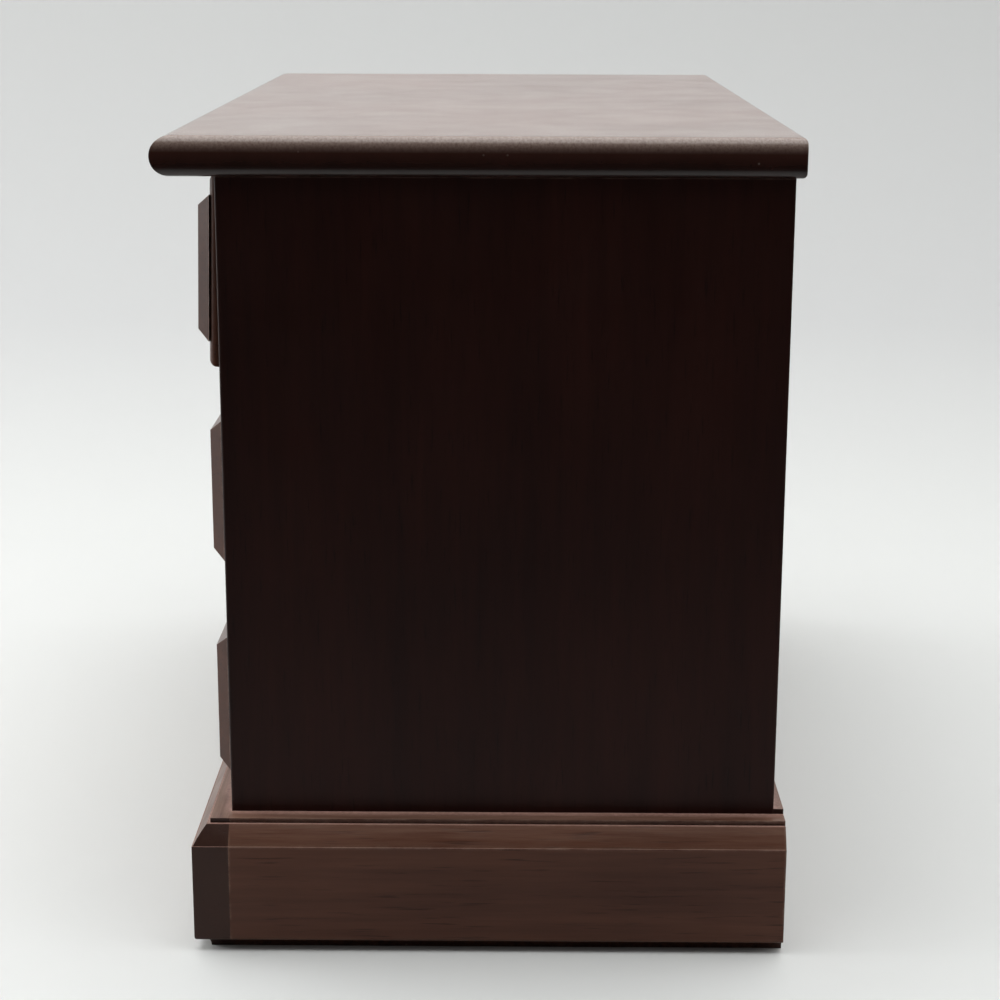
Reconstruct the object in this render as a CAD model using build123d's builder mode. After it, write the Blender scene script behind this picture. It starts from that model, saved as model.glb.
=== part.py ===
from build123d import *
from math import cos, pi, radians, sin
import os

os.makedirs("parts", exist_ok=True)

# Musical jewelry box, in millimetres. X runs across the front, Y towards the back, Z up.
# The origin is on the floor, under the centre of the overall box, winding key included.

# Lid
lid_width = 272.6
lid_depth = 152.4
lid_thickness = 9.5
lid_side_overhang = 2.2
lid_front_overhang = 14.6
lid_rear_overhang = 2.25
lid_nose_radius = 4.7
lid_side_top_radius = 3.2
lid_side_bottom_radius = 2.6
lid_rear_radius = 1.2

# Case boards
compartment_height = 47.3
case_foot_gap = 3.0
side_thickness = 9.5
side_arris_radius = 0.6
back_thickness = 6.0
bottom_thickness = 6.0
shelf_thickness = 6.5
dado_depth = 3.0
rabbet_depth = 4.5
shelf_front_setback = 0.3

# Plinth boards and their moulding, as distances out from the case and heights over the floor
plinth_thickness = 9.0
plinth_height = 34.0
plinth_rear_reach = 2.5
plinth_strip_height = 35.3
moulding_ledge_reach = 4.75
moulding_step_height = 32.8
moulding_step_reach = 5.6
moulding_mid_reach = 7.4
moulding_mid_height = 30.4
moulding_foot_reach = 8.75
moulding_foot_height = 28.1
plinth_underside_height = 2.9
plinth_underside_reach = 7.9
plinth_edge_radius = 1.0
plinth_foot_reach = 5.3

# Drawers and their fronts
drawer_opening_height = 48.8
front_gap = 0.5
front_thickness = 9.0
front_proud = 1.4
front_edge_radius = 2.0
front_lap = 4.0
block_height = 35.4
block_proud = 3.0
block_bevel = 2.7
block_end_margin = 0.5
drawer_side_gap = 0.6
drawer_side_thickness = 6.0
drawer_side_height = 40.0
drawer_floor_gap = 0.3
drawer_rear_gap = 4.0
drawer_back_thickness = 6.0
drawer_bottom_thickness = 3.0
drawer_bottom_rise = 3.0
drawer_groove_depth = 2.5
drawer_lining_thickness = 1.0
drawer_lining_floor = 1.5
drawer_lining_height = 30.0
fit_gap = 0.05

# False front of the top compartment, which leans out towards its foot
false_front_lean = 1.6
false_front_foot_proud = 3.8
false_front_top_gap = 0.4
false_block_rise = 0.5

# Brass pulls
pull_post_spacing = 38.0
pull_post_radius = 1.5
pull_post_head_radius = 2.6
pull_post_head_length = 4.6
pull_plate_width = 56.0
pull_plate_height = 15.0
pull_plate_thickness = 0.8
pull_lobe_radius = 6.0
pull_bail_radius = 1.25
pull_bail_drop = 10.0
pull_bail_corner = 5.0
pull_pivot_stand = 3.4
pull_pivot_radius = 0.7
pull_nut_radius = 3.2
pull_nut_thickness = 2.0
bail_play = 0.06
bail_side_gap = 0.2

# Butt hinges of the lid
hinge_spread = 160.0
hinge_length = 24.0
hinge_axis_drop = 0.4
hinge_barrel_radius = 1.5
hinge_pin_radius = 0.75
hinge_leaf_width = 5.3
hinge_leaf_thickness = 0.7
hinge_recess_gap = 0.1
hinge_barrel_gap = 0.25
hinge_play = 0.05
hinge_knuckles = 3
hinge_knuckle_gap = 0.1
hinge_screw_spacing = 15.0
hinge_screw_radius = 0.8
hinge_screw_head_radius = 1.5
hinge_screw_flare = 45.0
hinge_case_screw_length = 9.0
hinge_lid_screw_length = 6.0

# Mirror under the lid
mirror_width = 196.0
mirror_thickness = 2.0
mirror_frame_border = 9.0
mirror_frame_thickness = 4.0
mirror_frame_lap = 2.5
mirror_frame_bevel = 1.2
mirror_front_margin = 12.0
mirror_lever_gap = 4.05

# Top compartment
lining_thickness = 1.0
lining_floor = 1.5
lining_top_gap = 6.0
partition_thickness = 3.0
partition_top_gap = 6.0
bay_width = 70.0
bay_depth = 27.0
ring_section_width = 76.0
ring_roll_count = 7
ring_roll_height = 19.0
ring_roll_slot = 0.5
ring_roll_end_gap = 0.5
window_thickness = 2.0
window_gap = 0.3

# Musical movement, with stations forward from the inside of the case back
bedplate_width = 60.0
bedplate_foot_gap = 1.4
bedplate_top_gap = 8.9
bedplate_thickness = 2.0
bedplate_corner = 3.0
bedplate_left_margin = 4.0
bedplate_housing_margin = 2.0
housing_foot_margin = 4.0
housing_radius = 12.0
housing_length = 7.0
housing_rim = 0.8
gear_module = 0.5
crown_teeth = 40
cylinder_pinion_teeth = 10
cylinder_gear_teeth = 24
wheel_pinion_teeth = 8
wheel_teeth = 24
tooth_addendum = 0.5
tooth_dedendum = 0.6
tooth_tip_width = 0.24
tooth_root_width = 0.5
tooth_tip_gap = 0.15
crown_tooth_width = 0.34
crown_tooth_length = 2.2
crown_disc_thickness = 1.2
crown_rim = 0.4
crown_gap = 0.3
arbor_radius = 1.6
arbor_play = 0.05
back_hole_radius = 4.0
key_reach = 13.0
key_gap = 1.2
key_shank_radius = 3.0
key_lobe_radius = 5.0
key_lobe_spread = 12.5
key_lobe_hole_radius = 2.2
key_thickness = 1.8
pinion_length = 1.6
cylinder_radius = 5.9
cylinder_length = 17.7
cylinder_arbor_radius = 0.7
pin_height = 0.45
pin_side = 0.3
pin_rows = 6
pin_turn_step = 137.5
comb_teeth = 18
comb_tooth_gap = 0.3
comb_tip_gap = 0.2
comb_thickness = 0.8
comb_base_thickness = 1.8
comb_edge_margin = 0.5
comb_bass_base = 4.95
comb_treble_share = 0.556
comb_screw_radius = 1.0
comb_screw_head_radius = 2.0
comb_screw_head = 1.0
gear_width = 1.5
wheel_width = 1.0
bearing_width = 1.0
bearing_radius = 1.7
bearing_gap = 0.4
worm_pitch_radius = 1.3
worm_core_radius = 0.7
worm_length = 5.0
fly_arbor_radius = 0.5
fly_radius = 3.0
fly_height = 8.0
fly_thickness = 0.5
fly_hub_radius = 1.1
governor_plate_thickness = 1.0
governor_tab_thickness = 1.2
governor_foot_reach = 3.0
fly_top_gap = 0.8
screw_slot_width = 0.5
comb_screw_depth = 5.0
movement_screw_margin = 3.6
movement_screw_depth = 4.0
lever_axis_drop = 2.2
stop_lever_tail = 6.0
window_slot_length = 7.0
window_slot_width = 2.6
window_slot_shift = 1.0
movement_screw_radius = 1.0
movement_screw_head_radius = 1.9
movement_screw_head = 1.0
stop_lever_thickness = 0.8
stop_lever_width = 1.8
stop_lever_pin_radius = 0.6
stop_lever_reach = 11.0
stop_lever_lid_gap = 0.5

# Places that follow from the sizes above
case_width = lid_width - 2 * lid_side_overhang
case_depth = lid_depth - lid_front_overhang - lid_rear_overhang
overall_depth = lid_front_overhang + case_depth + key_reach
lid_front_y = -overall_depth / 2
lid_rear_y = lid_front_y + lid_depth
case_front_y = lid_front_y + lid_front_overhang
case_rear_y = case_front_y + case_depth
inner_rear_y = case_rear_y - back_thickness
half_case = case_width / 2
half_inner = half_case - side_thickness
lower_floor_z = plinth_height
divider_z = lower_floor_z + drawer_opening_height
upper_floor_z = divider_z + shelf_thickness
floor_board_z = upper_floor_z + drawer_opening_height
compartment_z = floor_board_z + shelf_thickness
case_height = compartment_z + compartment_height
front_plane_y = case_front_y - front_proud
front_back_y = front_plane_y + front_thickness
half_front = half_inner - front_gap

# Stations of the movement: upwards from the compartment floor, forward from the inside of the back
# and along the cylinder
bedplate_foot_z = compartment_z + bedplate_foot_gap
bedplate_top_z = case_height - bedplate_top_gap
bedplate_height = bedplate_top_z - bedplate_foot_z
movement_z = bedplate_foot_z + housing_foot_margin + housing_radius
comb_top_z = bedplate_top_z - comb_edge_margin
movement_x = -half_inner + bedplate_left_margin + housing_radius
housing_y = inner_rear_y - bedplate_thickness
crown_back_y = housing_y - housing_length - crown_gap
crown_face_y = crown_back_y - crown_disc_thickness
pinion_radius = gear_module * cylinder_pinion_teeth / 2
cylinder_axis_y = crown_face_y - tooth_tip_gap - tooth_addendum - pinion_radius
crown_radius = gear_module * crown_teeth / 2
crown_tooth_height = (
    crown_face_y - cylinder_axis_y - pinion_radius + tooth_dedendum - tooth_tip_gap
)
wheel_axis_z = movement_z - gear_module * (cylinder_gear_teeth + wheel_pinion_teeth) / 2
fly_axis_y = cylinder_axis_y + gear_module * wheel_teeth / 2 + worm_pitch_radius
lever_axis_y = fly_axis_y
finger_y = lever_axis_y - stop_lever_reach
pinion_x = movement_x + crown_radius
left_bearing_x = movement_x + housing_radius + bearing_width
cylinder_left_x = left_bearing_x + bearing_width + bearing_gap
cylinder_right_x = cylinder_left_x + cylinder_length
wheel_left_ear_x = cylinder_right_x + bearing_gap
gear_x = wheel_left_ear_x + bearing_width + bearing_gap
wheel_x = gear_x + gear_width + bearing_width + bearing_gap
fly_axis_x = wheel_x + wheel_width / 2
wheel_right_ear_x = fly_axis_x + fly_radius
right_bearing_x = wheel_right_ear_x + bearing_width + bearing_gap
bedplate_left_x = movement_x - housing_radius - bedplate_housing_margin
bedplate_right_x = bedplate_left_x + bedplate_width
comb_pitch = cylinder_length / comb_teeth
bedplate_screw_places = [
    (bedplate_left_x + movement_screw_margin, bedplate_foot_z + movement_screw_margin),
    (bedplate_left_x + movement_screw_margin, bedplate_top_z - movement_screw_margin),
    ((cylinder_left_x + cylinder_right_x) / 2, bedplate_foot_z + movement_screw_margin),
]

# Side panels, each with three dados for the shelves and a rabbet for the back
shelf_levels = [
    (lower_floor_z - bottom_thickness, bottom_thickness),
    (divider_z, shelf_thickness),
    (floor_board_z, shelf_thickness),
]
shelf_front_y = case_front_y + shelf_front_setback
shelf_depth = inner_rear_y - shelf_front_y
for side, name in ((-1, "side_panel_left"), (1, "side_panel_right")):
    with BuildPart() as side_panel:
        with BuildSketch(Plane.YZ.offset(side * (half_case - side_thickness / 2))):
            with Locations(((case_front_y + case_rear_y) / 2, (case_foot_gap + case_height) / 2)):
                Rectangle(case_depth, case_height - case_foot_gap)
        extrude(amount=side_thickness / 2, both=True)
        front_edges = side_panel.edges().filter_by(Axis.Z).group_by(Axis.Y)[0]
        fillet(front_edges, side_arris_radius)
        inner_face_x = side * half_inner
        for level, thickness in shelf_levels:
            with BuildSketch(Plane.YZ.offset(inner_face_x)):
                with Locations(((shelf_front_y + inner_rear_y) / 2, level + thickness / 2)):
                    Rectangle(shelf_depth, thickness)
            extrude(amount=side * dado_depth, mode=Mode.SUBTRACT)
        with BuildSketch(Plane.YZ.offset(inner_face_x)):
            with Locations(((inner_rear_y + case_rear_y) / 2, (case_foot_gap + case_height) / 2)):
                Rectangle(back_thickness, case_height - case_foot_gap)
        extrude(amount=side * rabbet_depth, mode=Mode.SUBTRACT)
    side_panel.part.label = name
    export_step(side_panel.part, f"parts/{name}.step")

# Case bottom, drawer divider and compartment floor, housed in the dados
for (level, thickness), name in zip(shelf_levels, ("case_bottom", "drawer_divider", "compartment_floor")):
    with BuildPart() as shelf:
        with BuildSketch(Plane.XY.offset(level)):
            with Locations((0, (shelf_front_y + inner_rear_y) / 2)):
                Rectangle(2 * (half_inner + dado_depth), shelf_depth)
        extrude(amount=thickness)
        with BuildSketch(Plane.XY.offset(level)):
            with Locations((0, (case_front_y + shelf_front_y) / 2)):
                Rectangle(2 * half_inner, shelf_front_setback)
        extrude(amount=thickness)
    shelf.part.label = name
    export_step(shelf.part, f"parts/{name}.step")

# Plinth moulding, drawn once as the section of a board planted on a case face


def plinth_section(plane, face, outward):
    """Section of the moulding on a plane whose first direction runs out from the case face."""

    def at(reach, height):
        return (face + outward * reach, height)

    with BuildSketch(plane) as section:
        with BuildLine():
            cove_radius = plinth_underside_reach - plinth_foot_reach
            cove_start = at(plinth_foot_reach, plinth_underside_height - cove_radius)
            cove_middle = at(
                plinth_underside_reach - cove_radius * cos(pi / 4),
                plinth_underside_height - cove_radius * (1 - sin(pi / 4)),
            )
            Polyline(at(0, plinth_height), at(0, 0), at(plinth_foot_reach, 0), cove_start)
            ThreePointArc(cove_start, cove_middle, at(plinth_underside_reach, plinth_underside_height))
            Line(
                at(plinth_underside_reach, plinth_underside_height),
                at(plinth_thickness - plinth_edge_radius, plinth_underside_height),
            )
            ThreePointArc(
                at(plinth_thickness - plinth_edge_radius, plinth_underside_height),
                at(
                    plinth_thickness - plinth_edge_radius * (1 - sin(pi / 4)),
                    plinth_underside_height + plinth_edge_radius * (1 - cos(pi / 4)),
                ),
                at(plinth_thickness, plinth_underside_height + plinth_edge_radius),
            )
            Polyline(
                at(plinth_thickness, plinth_underside_height + plinth_edge_radius),
                at(plinth_thickness, moulding_foot_height),
                at(moulding_foot_reach, moulding_foot_height),
            )
            Spline(
                at(moulding_foot_reach, moulding_foot_height),
                at(moulding_mid_reach, moulding_mid_height),
                at(moulding_step_reach, moulding_step_height),
            )
            Polyline(
                at(moulding_step_reach, moulding_step_height),
                at(moulding_ledge_reach, moulding_step_height),
                at(moulding_ledge_reach, plinth_height),
                at(0, plinth_height),
            )
        make_face()
    return section.sketch


# Side and front boards. The front board laps the side boards, and its moulding returns round its ends.
plinth_rear_y = case_rear_y + plinth_rear_reach
plinth_side_length = plinth_rear_y - case_front_y
for side, name in ((-1, "plinth_left"), (1, "plinth_right")):
    with BuildPart() as plinth_side:
        section = plinth_section(Plane.XZ.offset(-plinth_rear_y), side * half_case, side)
        extrude(section, amount=plinth_side_length, dir=(0, -1, 0))
    plinth_side.part.label = name
    export_step(plinth_side.part, f"parts/{name}.step")

half_plinth = half_case + plinth_thickness
with BuildPart() as plinth_returns:
    with BuildSketch(Plane.XZ.offset(-case_front_y)):
        with Locations((0, plinth_height / 2)):
            Rectangle(case_width, plinth_height)
    extrude(amount=plinth_thickness)
    for side in (-1, 1):
        section = plinth_section(Plane.XZ.offset(-case_front_y), side * half_case, side)
        extrude(section, amount=plinth_thickness, dir=(0, -1, 0))
with BuildPart() as plinth_front:
    section = plinth_section(Plane.YZ.offset(-half_plinth), case_front_y, -1)
    extrude(section, amount=2 * half_plinth, dir=(1, 0, 0))
    add(plinth_returns.part, mode=Mode.INTERSECT)
plinth_front.part.label = "plinth_front"
export_step(plinth_front.part, "parts/plinth_front.step")

with BuildPart() as plinth_back:
    with BuildSketch(Plane.XY):
        with Locations((0, case_rear_y + plinth_rear_reach / 2)):
            Rectangle(case_width, plinth_rear_reach)
    extrude(amount=plinth_strip_height)
plinth_back.part.label = "plinth_back"
export_step(plinth_back.part, "parts/plinth_back.step")

# Back panel, let into the rabbets, with the key hole and the notches of the hinges
hinge_axis_z = case_height - hinge_axis_drop
hinge_places = [(-hinge_spread / 2, 0), (hinge_spread / 2, 0)]
hinge_recess_depth = hinge_leaf_thickness + hinge_recess_gap
hinge_recess_width = hinge_leaf_width + hinge_recess_gap
hinge_recess_length = hinge_length + 2 * hinge_recess_gap
leaf_edge_y = case_rear_y - hinge_barrel_radius - hinge_barrel_gap
leaf_front_y = case_rear_y - hinge_leaf_width
hinge_screw_places = [
    (place + side * hinge_screw_spacing / 2, (leaf_front_y + leaf_edge_y) / 2)
    for place, _ in hinge_places
    for side in (-1, 1)
]
with BuildPart() as back_panel:
    with BuildSketch(Plane.XZ.offset(-case_rear_y)):
        with Locations((0, (case_foot_gap + case_height) / 2)):
            Rectangle(2 * (half_inner + rabbet_depth), case_height - case_foot_gap)
        with Locations((movement_x, movement_z)):
            Circle(back_hole_radius, mode=Mode.SUBTRACT)
    extrude(amount=back_thickness)
    with BuildSketch(Plane.XZ.offset(-inner_rear_y)):
        with Locations(bedplate_screw_places):
            Circle(movement_screw_radius)
    extrude(amount=-movement_screw_depth - fit_gap, mode=Mode.SUBTRACT)
    with BuildSketch(Plane.XY.offset(case_height)):
        with Locations((0, case_rear_y - hinge_recess_width / 2)):
            with Locations(hinge_places):
                Rectangle(hinge_recess_length, hinge_recess_width)
    extrude(amount=-hinge_recess_depth, mode=Mode.SUBTRACT)
    for place, _ in hinge_places:
        with BuildSketch(Plane.YZ.offset(place)):
            with Locations((case_rear_y, hinge_axis_z)):
                Circle(hinge_barrel_radius + hinge_barrel_gap)
        extrude(amount=hinge_recess_length / 2, both=True, mode=Mode.SUBTRACT)
    with BuildSketch(Plane.XY.offset(case_height)):
        with Locations(hinge_screw_places):
            Circle(hinge_screw_radius)
    extrude(amount=-hinge_case_screw_length, mode=Mode.SUBTRACT)
back_panel.part.label = "back_panel"
export_step(back_panel.part, "parts/back_panel.step")


# Raised block with bevelled edges, drawn on the plane of the front that it is glued to
def raised_block(front_plane):
    with BuildPart(mode=Mode.PRIVATE) as block:
        with BuildSketch(front_plane):
            Rectangle(2 * (half_front - block_end_margin), block_height)
        extrude(amount=block_proud)
        front_face_edges = block.faces().sort_by(Axis.Y)[0].edges()
        chamfer(front_face_edges, length=block_proud - fit_gap, length2=block_bevel)
    return block.part


# False front, planted between the sides over the compartment floor
false_front_height = case_height - compartment_z - front_gap - false_front_top_gap
false_front_foot = Vector(0, case_front_y - false_front_foot_proud, compartment_z + front_gap)
false_front_plane = Plane(origin=false_front_foot, x_dir=(1, 0, 0), z_dir=(0, -1, 0)).rotated(
    (-false_front_lean, 0, 0)
)
false_block_centre = false_front_plane.from_local_coords((0, false_front_height / 2 + false_block_rise, 0))
false_block_plane = Plane(origin=false_block_centre, x_dir=(1, 0, 0), z_dir=false_front_plane.z_dir)
pull_post_places = [(-pull_post_spacing / 2, 0), (pull_post_spacing / 2, 0)]
with BuildPart() as false_front:
    with BuildSketch(false_front_plane):
        with Locations((0, false_front_height / 2)):
            Rectangle(2 * half_front, false_front_height)
    extrude(amount=-front_thickness)
    fillet(false_front.faces().sort_by(Axis.Y)[0].edges(), front_edge_radius)
    with BuildSketch(false_block_plane):
        with Locations(pull_post_places):
            Circle(pull_post_radius + fit_gap)
    extrude(amount=-front_thickness, mode=Mode.SUBTRACT)
false_front.part.label = "false_front"
export_step(false_front.part, "parts/false_front.step")

with BuildPart() as false_front_block:
    add(raised_block(false_block_plane))
    with BuildSketch(false_block_plane):
        with Locations(pull_post_places):
            Circle(pull_post_radius + fit_gap)
    extrude(amount=block_proud, mode=Mode.SUBTRACT)
false_front_block.part.label = "false_front_block"
export_step(false_front_block.part, "parts/false_front_block.step")

# Two drawers. Each front is rabbeted for its sides and grooved for its bottom.
drawer_inner = half_inner - drawer_side_gap - drawer_side_thickness
drawer_rabbet_width = half_front - drawer_inner
side_front_y = front_plane_y + front_lap
side_rear_y = inner_rear_y - drawer_rear_gap
drawer_back_y = side_rear_y - drawer_back_thickness
for floor_z, name in ((lower_floor_z, "lower_drawer"), (upper_floor_z, "upper_drawer")):
    front_z = floor_z + front_gap
    front_height = drawer_opening_height - 2 * front_gap
    side_z = floor_z + drawer_floor_gap
    groove_z = side_z + drawer_bottom_rise
    inside_z = groove_z + drawer_bottom_thickness
    post_z = front_z + front_height / 2
    post_places = [(-pull_post_spacing / 2, post_z), (pull_post_spacing / 2, post_z)]

    with BuildPart() as drawer_front:
        with BuildSketch(Plane.XZ.offset(-front_back_y)):
            with Locations((0, post_z)):
                Rectangle(2 * half_front, front_height)
        extrude(amount=front_thickness)
        fillet(drawer_front.faces().sort_by(Axis.Y)[0].edges(), front_edge_radius)
        with BuildSketch(Plane.XZ.offset(-front_back_y)):
            with Locations(
                (drawer_inner + drawer_rabbet_width / 2, post_z),
                (-drawer_inner - drawer_rabbet_width / 2, post_z),
            ):
                Rectangle(drawer_rabbet_width, front_height)
        extrude(amount=front_thickness - front_lap, mode=Mode.SUBTRACT)
        with BuildSketch(Plane.XZ.offset(-front_back_y)):
            with Locations((0, groove_z + drawer_bottom_thickness / 2)):
                Rectangle(2 * drawer_inner, drawer_bottom_thickness + 2 * fit_gap)
        extrude(amount=drawer_groove_depth, mode=Mode.SUBTRACT)
        with BuildSketch(Plane.XZ.offset(-front_back_y)):
            with Locations(post_places):
                Circle(pull_post_radius + fit_gap)
        extrude(amount=front_thickness, mode=Mode.SUBTRACT)
    drawer_front.part.label = f"{name}_front"
    export_step(drawer_front.part, f"parts/{name}_front.step")

    block_plane = Plane(origin=(0, front_plane_y, post_z), x_dir=(1, 0, 0), z_dir=(0, -1, 0))
    with BuildPart() as drawer_block:
        add(raised_block(block_plane))
        with BuildSketch(Plane.XZ.offset(-front_plane_y)):
            with Locations(post_places):
                Circle(pull_post_radius + fit_gap)
        extrude(amount=block_proud, mode=Mode.SUBTRACT)
    drawer_block.part.label = f"{name}_block"
    export_step(drawer_block.part, f"parts/{name}_block.step")

    with BuildPart() as drawer_sides:
        for side in (-1, 1):
            side_x = side * (drawer_inner + drawer_side_thickness / 2)
            with BuildSketch(Plane.XY.offset(side_z)):
                with Locations((side_x, (side_front_y + side_rear_y) / 2)):
                    Rectangle(drawer_side_thickness, side_rear_y - side_front_y)
            extrude(amount=drawer_side_height)
            with BuildSketch(Plane.XY.offset(groove_z - fit_gap)):
                with Locations(
                    (side * (drawer_inner + drawer_groove_depth / 2), (front_back_y + side_rear_y) / 2)
                ):
                    Rectangle(drawer_groove_depth, side_rear_y - front_back_y + 2 * drawer_groove_depth)
            extrude(amount=drawer_bottom_thickness + 2 * fit_gap, mode=Mode.SUBTRACT)
    drawer_sides.part.label = f"{name}_sides"
    export_step(drawer_sides.part, f"parts/{name}_sides.step")

    bottom_front_y = front_back_y - drawer_groove_depth + fit_gap
    with BuildPart() as drawer_bottom:
        with BuildSketch(Plane.XY.offset(groove_z)):
            with Locations((0, (bottom_front_y + side_rear_y) / 2)):
                Rectangle(2 * drawer_inner, side_rear_y - bottom_front_y)
            with Locations((0, (front_back_y + side_rear_y) / 2)):
                Rectangle(2 * (drawer_inner + drawer_groove_depth - fit_gap), side_rear_y - front_back_y)
        extrude(amount=drawer_bottom_thickness)
    drawer_bottom.part.label = f"{name}_bottom"
    export_step(drawer_bottom.part, f"parts/{name}_bottom.step")

    with BuildPart() as drawer_back:
        with BuildSketch(Plane.XY.offset(inside_z + fit_gap)):
            with Locations((0, drawer_back_y + drawer_back_thickness / 2)):
                Rectangle(2 * drawer_inner, drawer_back_thickness)
        extrude(amount=side_z + drawer_side_height - inside_z - fit_gap)
    drawer_back.part.label = f"{name}_back"
    export_step(drawer_back.part, f"parts/{name}_back.step")

    with BuildPart() as drawer_lining:
        with BuildSketch(Plane.XY.offset(inside_z)):
            with Locations((0, (front_back_y + pull_nut_thickness + drawer_back_y) / 2)):
                Rectangle(
                    2 * (drawer_inner - fit_gap),
                    drawer_back_y - front_back_y - pull_nut_thickness - 2 * fit_gap,
                )
        extrude(amount=drawer_lining_height)
        offset(
            amount=-drawer_lining_thickness,
            openings=drawer_lining.faces().sort_by(Axis.Z)[-1],
        )
        with BuildSketch(Plane.XY.offset(inside_z)):
            with Locations((0, (front_back_y + pull_nut_thickness + drawer_back_y) / 2)):
                Rectangle(
                    2 * (drawer_inner - drawer_lining_thickness),
                    drawer_back_y - front_back_y - pull_nut_thickness - 2 * drawer_lining_thickness,
                )
        extrude(amount=drawer_lining_floor)
    drawer_lining.part.label = f"{name}_lining"
    export_step(drawer_lining.part, f"parts/{name}_lining.step")

# Lid: a bullnose across the front, rounded ends and a flat rear edge, with pockets for the hinges
lid_mid_z = case_height + lid_thickness / 2
with BuildPart() as lid_ends:
    with BuildSketch(Plane.XZ.offset(-lid_rear_y)) as lid_end_section:
        with Locations((0, lid_mid_z)):
            Rectangle(lid_width, lid_thickness)
        corners = lid_end_section.vertices().group_by(Axis.Y)
        fillet(corners[-1], lid_side_top_radius)
        fillet(lid_end_section.vertices().group_by(Axis.Y)[0], lid_side_bottom_radius)
    extrude(amount=lid_depth)
with BuildPart() as lid_board:
    with BuildSketch(Plane.YZ.offset(-lid_width / 2)) as lid_section:
        with Locations(((lid_front_y + lid_rear_y) / 2, lid_mid_z)):
            Rectangle(lid_depth, lid_thickness)
        fillet(lid_section.vertices().group_by(Axis.X)[0], lid_nose_radius)
        fillet(lid_section.vertices().group_by(Axis.X)[-1], lid_rear_radius)
    extrude(amount=lid_width)
    add(lid_ends.part, mode=Mode.INTERSECT)
    with BuildSketch(Plane.XY.offset(case_height)):
        with Locations((0, case_rear_y - hinge_recess_width / 2)):
            with Locations(hinge_places):
                Rectangle(hinge_recess_length, hinge_recess_width)
    extrude(amount=hinge_recess_depth, mode=Mode.SUBTRACT)
    notch_height = hinge_barrel_radius + hinge_barrel_gap - hinge_axis_drop
    notch_front_y = case_rear_y - hinge_barrel_radius - hinge_barrel_gap
    with BuildSketch(Plane.XY.offset(case_height)):
        with Locations((0, (notch_front_y + lid_rear_y) / 2)):
            with Locations(hinge_places):
                Rectangle(hinge_recess_length, lid_rear_y - notch_front_y)
    extrude(amount=notch_height, mode=Mode.SUBTRACT)
    with BuildSketch(Plane.XY.offset(case_height)):
        with Locations(hinge_screw_places):
            Circle(hinge_screw_radius)
    extrude(amount=hinge_lid_screw_length, mode=Mode.SUBTRACT)
lid_board.part.label = "lid_board"
export_step(lid_board.part, "parts/lid_board.step")

# Butt hinges: the outer knuckles belong to the case leaves, the middle ones to the lid leaves
knuckle_length = (hinge_length - (hinge_knuckles - 1) * hinge_knuckle_gap) / hinge_knuckles
outer_knuckle_shift = knuckle_length + hinge_knuckle_gap
hinge_parts = (
    ("hinge_case", (-outer_knuckle_shift, outer_knuckle_shift), case_height - hinge_recess_depth, -1),
    ("hinge_lid", (0,), case_height + hinge_recess_gap, 1),
)
for name, knuckle_shifts, leaf_z, upward in hinge_parts:
    head_z = leaf_z + (hinge_leaf_thickness if upward < 0 else 0)
    screw_length = hinge_case_screw_length if upward < 0 else hinge_lid_screw_length
    with BuildPart() as hinge_leaves:
        for place, _ in hinge_places:
            with BuildSketch(Plane.XY.offset(leaf_z)):
                with Locations((place, (leaf_front_y + leaf_edge_y) / 2)):
                    Rectangle(hinge_length, leaf_edge_y - leaf_front_y)
                for shift in knuckle_shifts:
                    with Locations((place + shift, (leaf_edge_y + case_rear_y) / 2)):
                        Rectangle(knuckle_length, case_rear_y - leaf_edge_y)
            extrude(amount=hinge_leaf_thickness)
            for shift in knuckle_shifts:
                with BuildSketch(Plane.YZ.offset(place + shift)):
                    with Locations((case_rear_y, hinge_axis_z)):
                        Circle(hinge_barrel_radius)
                extrude(amount=knuckle_length / 2, both=True)
            with BuildSketch(Plane.YZ.offset(place)):
                with Locations((case_rear_y, hinge_axis_z)):
                    Circle(hinge_pin_radius + hinge_play)
            extrude(amount=hinge_length / 2, both=True, mode=Mode.SUBTRACT)
        with BuildSketch(Plane.XY.offset(head_z)):
            with Locations(hinge_screw_places):
                Circle(hinge_screw_head_radius)
        extrude(amount=upward * hinge_leaf_thickness, taper=hinge_screw_flare, mode=Mode.SUBTRACT)
        with BuildSketch(Plane.XY.offset(head_z)):
            with Locations(hinge_screw_places):
                Circle(hinge_screw_radius + fit_gap)
        extrude(amount=upward * hinge_leaf_thickness, mode=Mode.SUBTRACT)
    hinge_leaves.part.label = f"{name}_leaves"
    export_step(hinge_leaves.part, f"parts/{name}_leaves.step")

    with BuildPart() as hinge_screws:
        with BuildSketch(Plane.XY.offset(head_z)):
            with Locations(hinge_screw_places):
                Circle(hinge_screw_head_radius - fit_gap)
        extrude(amount=upward * (hinge_screw_head_radius - hinge_screw_radius), taper=hinge_screw_flare)
        with BuildSketch(Plane.XY.offset(head_z)):
            with Locations(hinge_screw_places):
                Circle(hinge_screw_radius - fit_gap)
        extrude(amount=upward * (screw_length - hinge_recess_gap - fit_gap))
    hinge_screws.part.label = f"{name}_screws"
    export_step(hinge_screws.part, f"parts/{name}_screws.step")

with BuildPart() as hinge_pins:
    for place, _ in hinge_places:
        with BuildSketch(Plane.YZ.offset(place)):
            with Locations((case_rear_y, hinge_axis_z)):
                Circle(hinge_pin_radius)
        extrude(amount=hinge_length / 2, both=True)
hinge_pins.part.label = "hinge_pins"
export_step(hinge_pins.part, "parts/hinge_pins.step")

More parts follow.
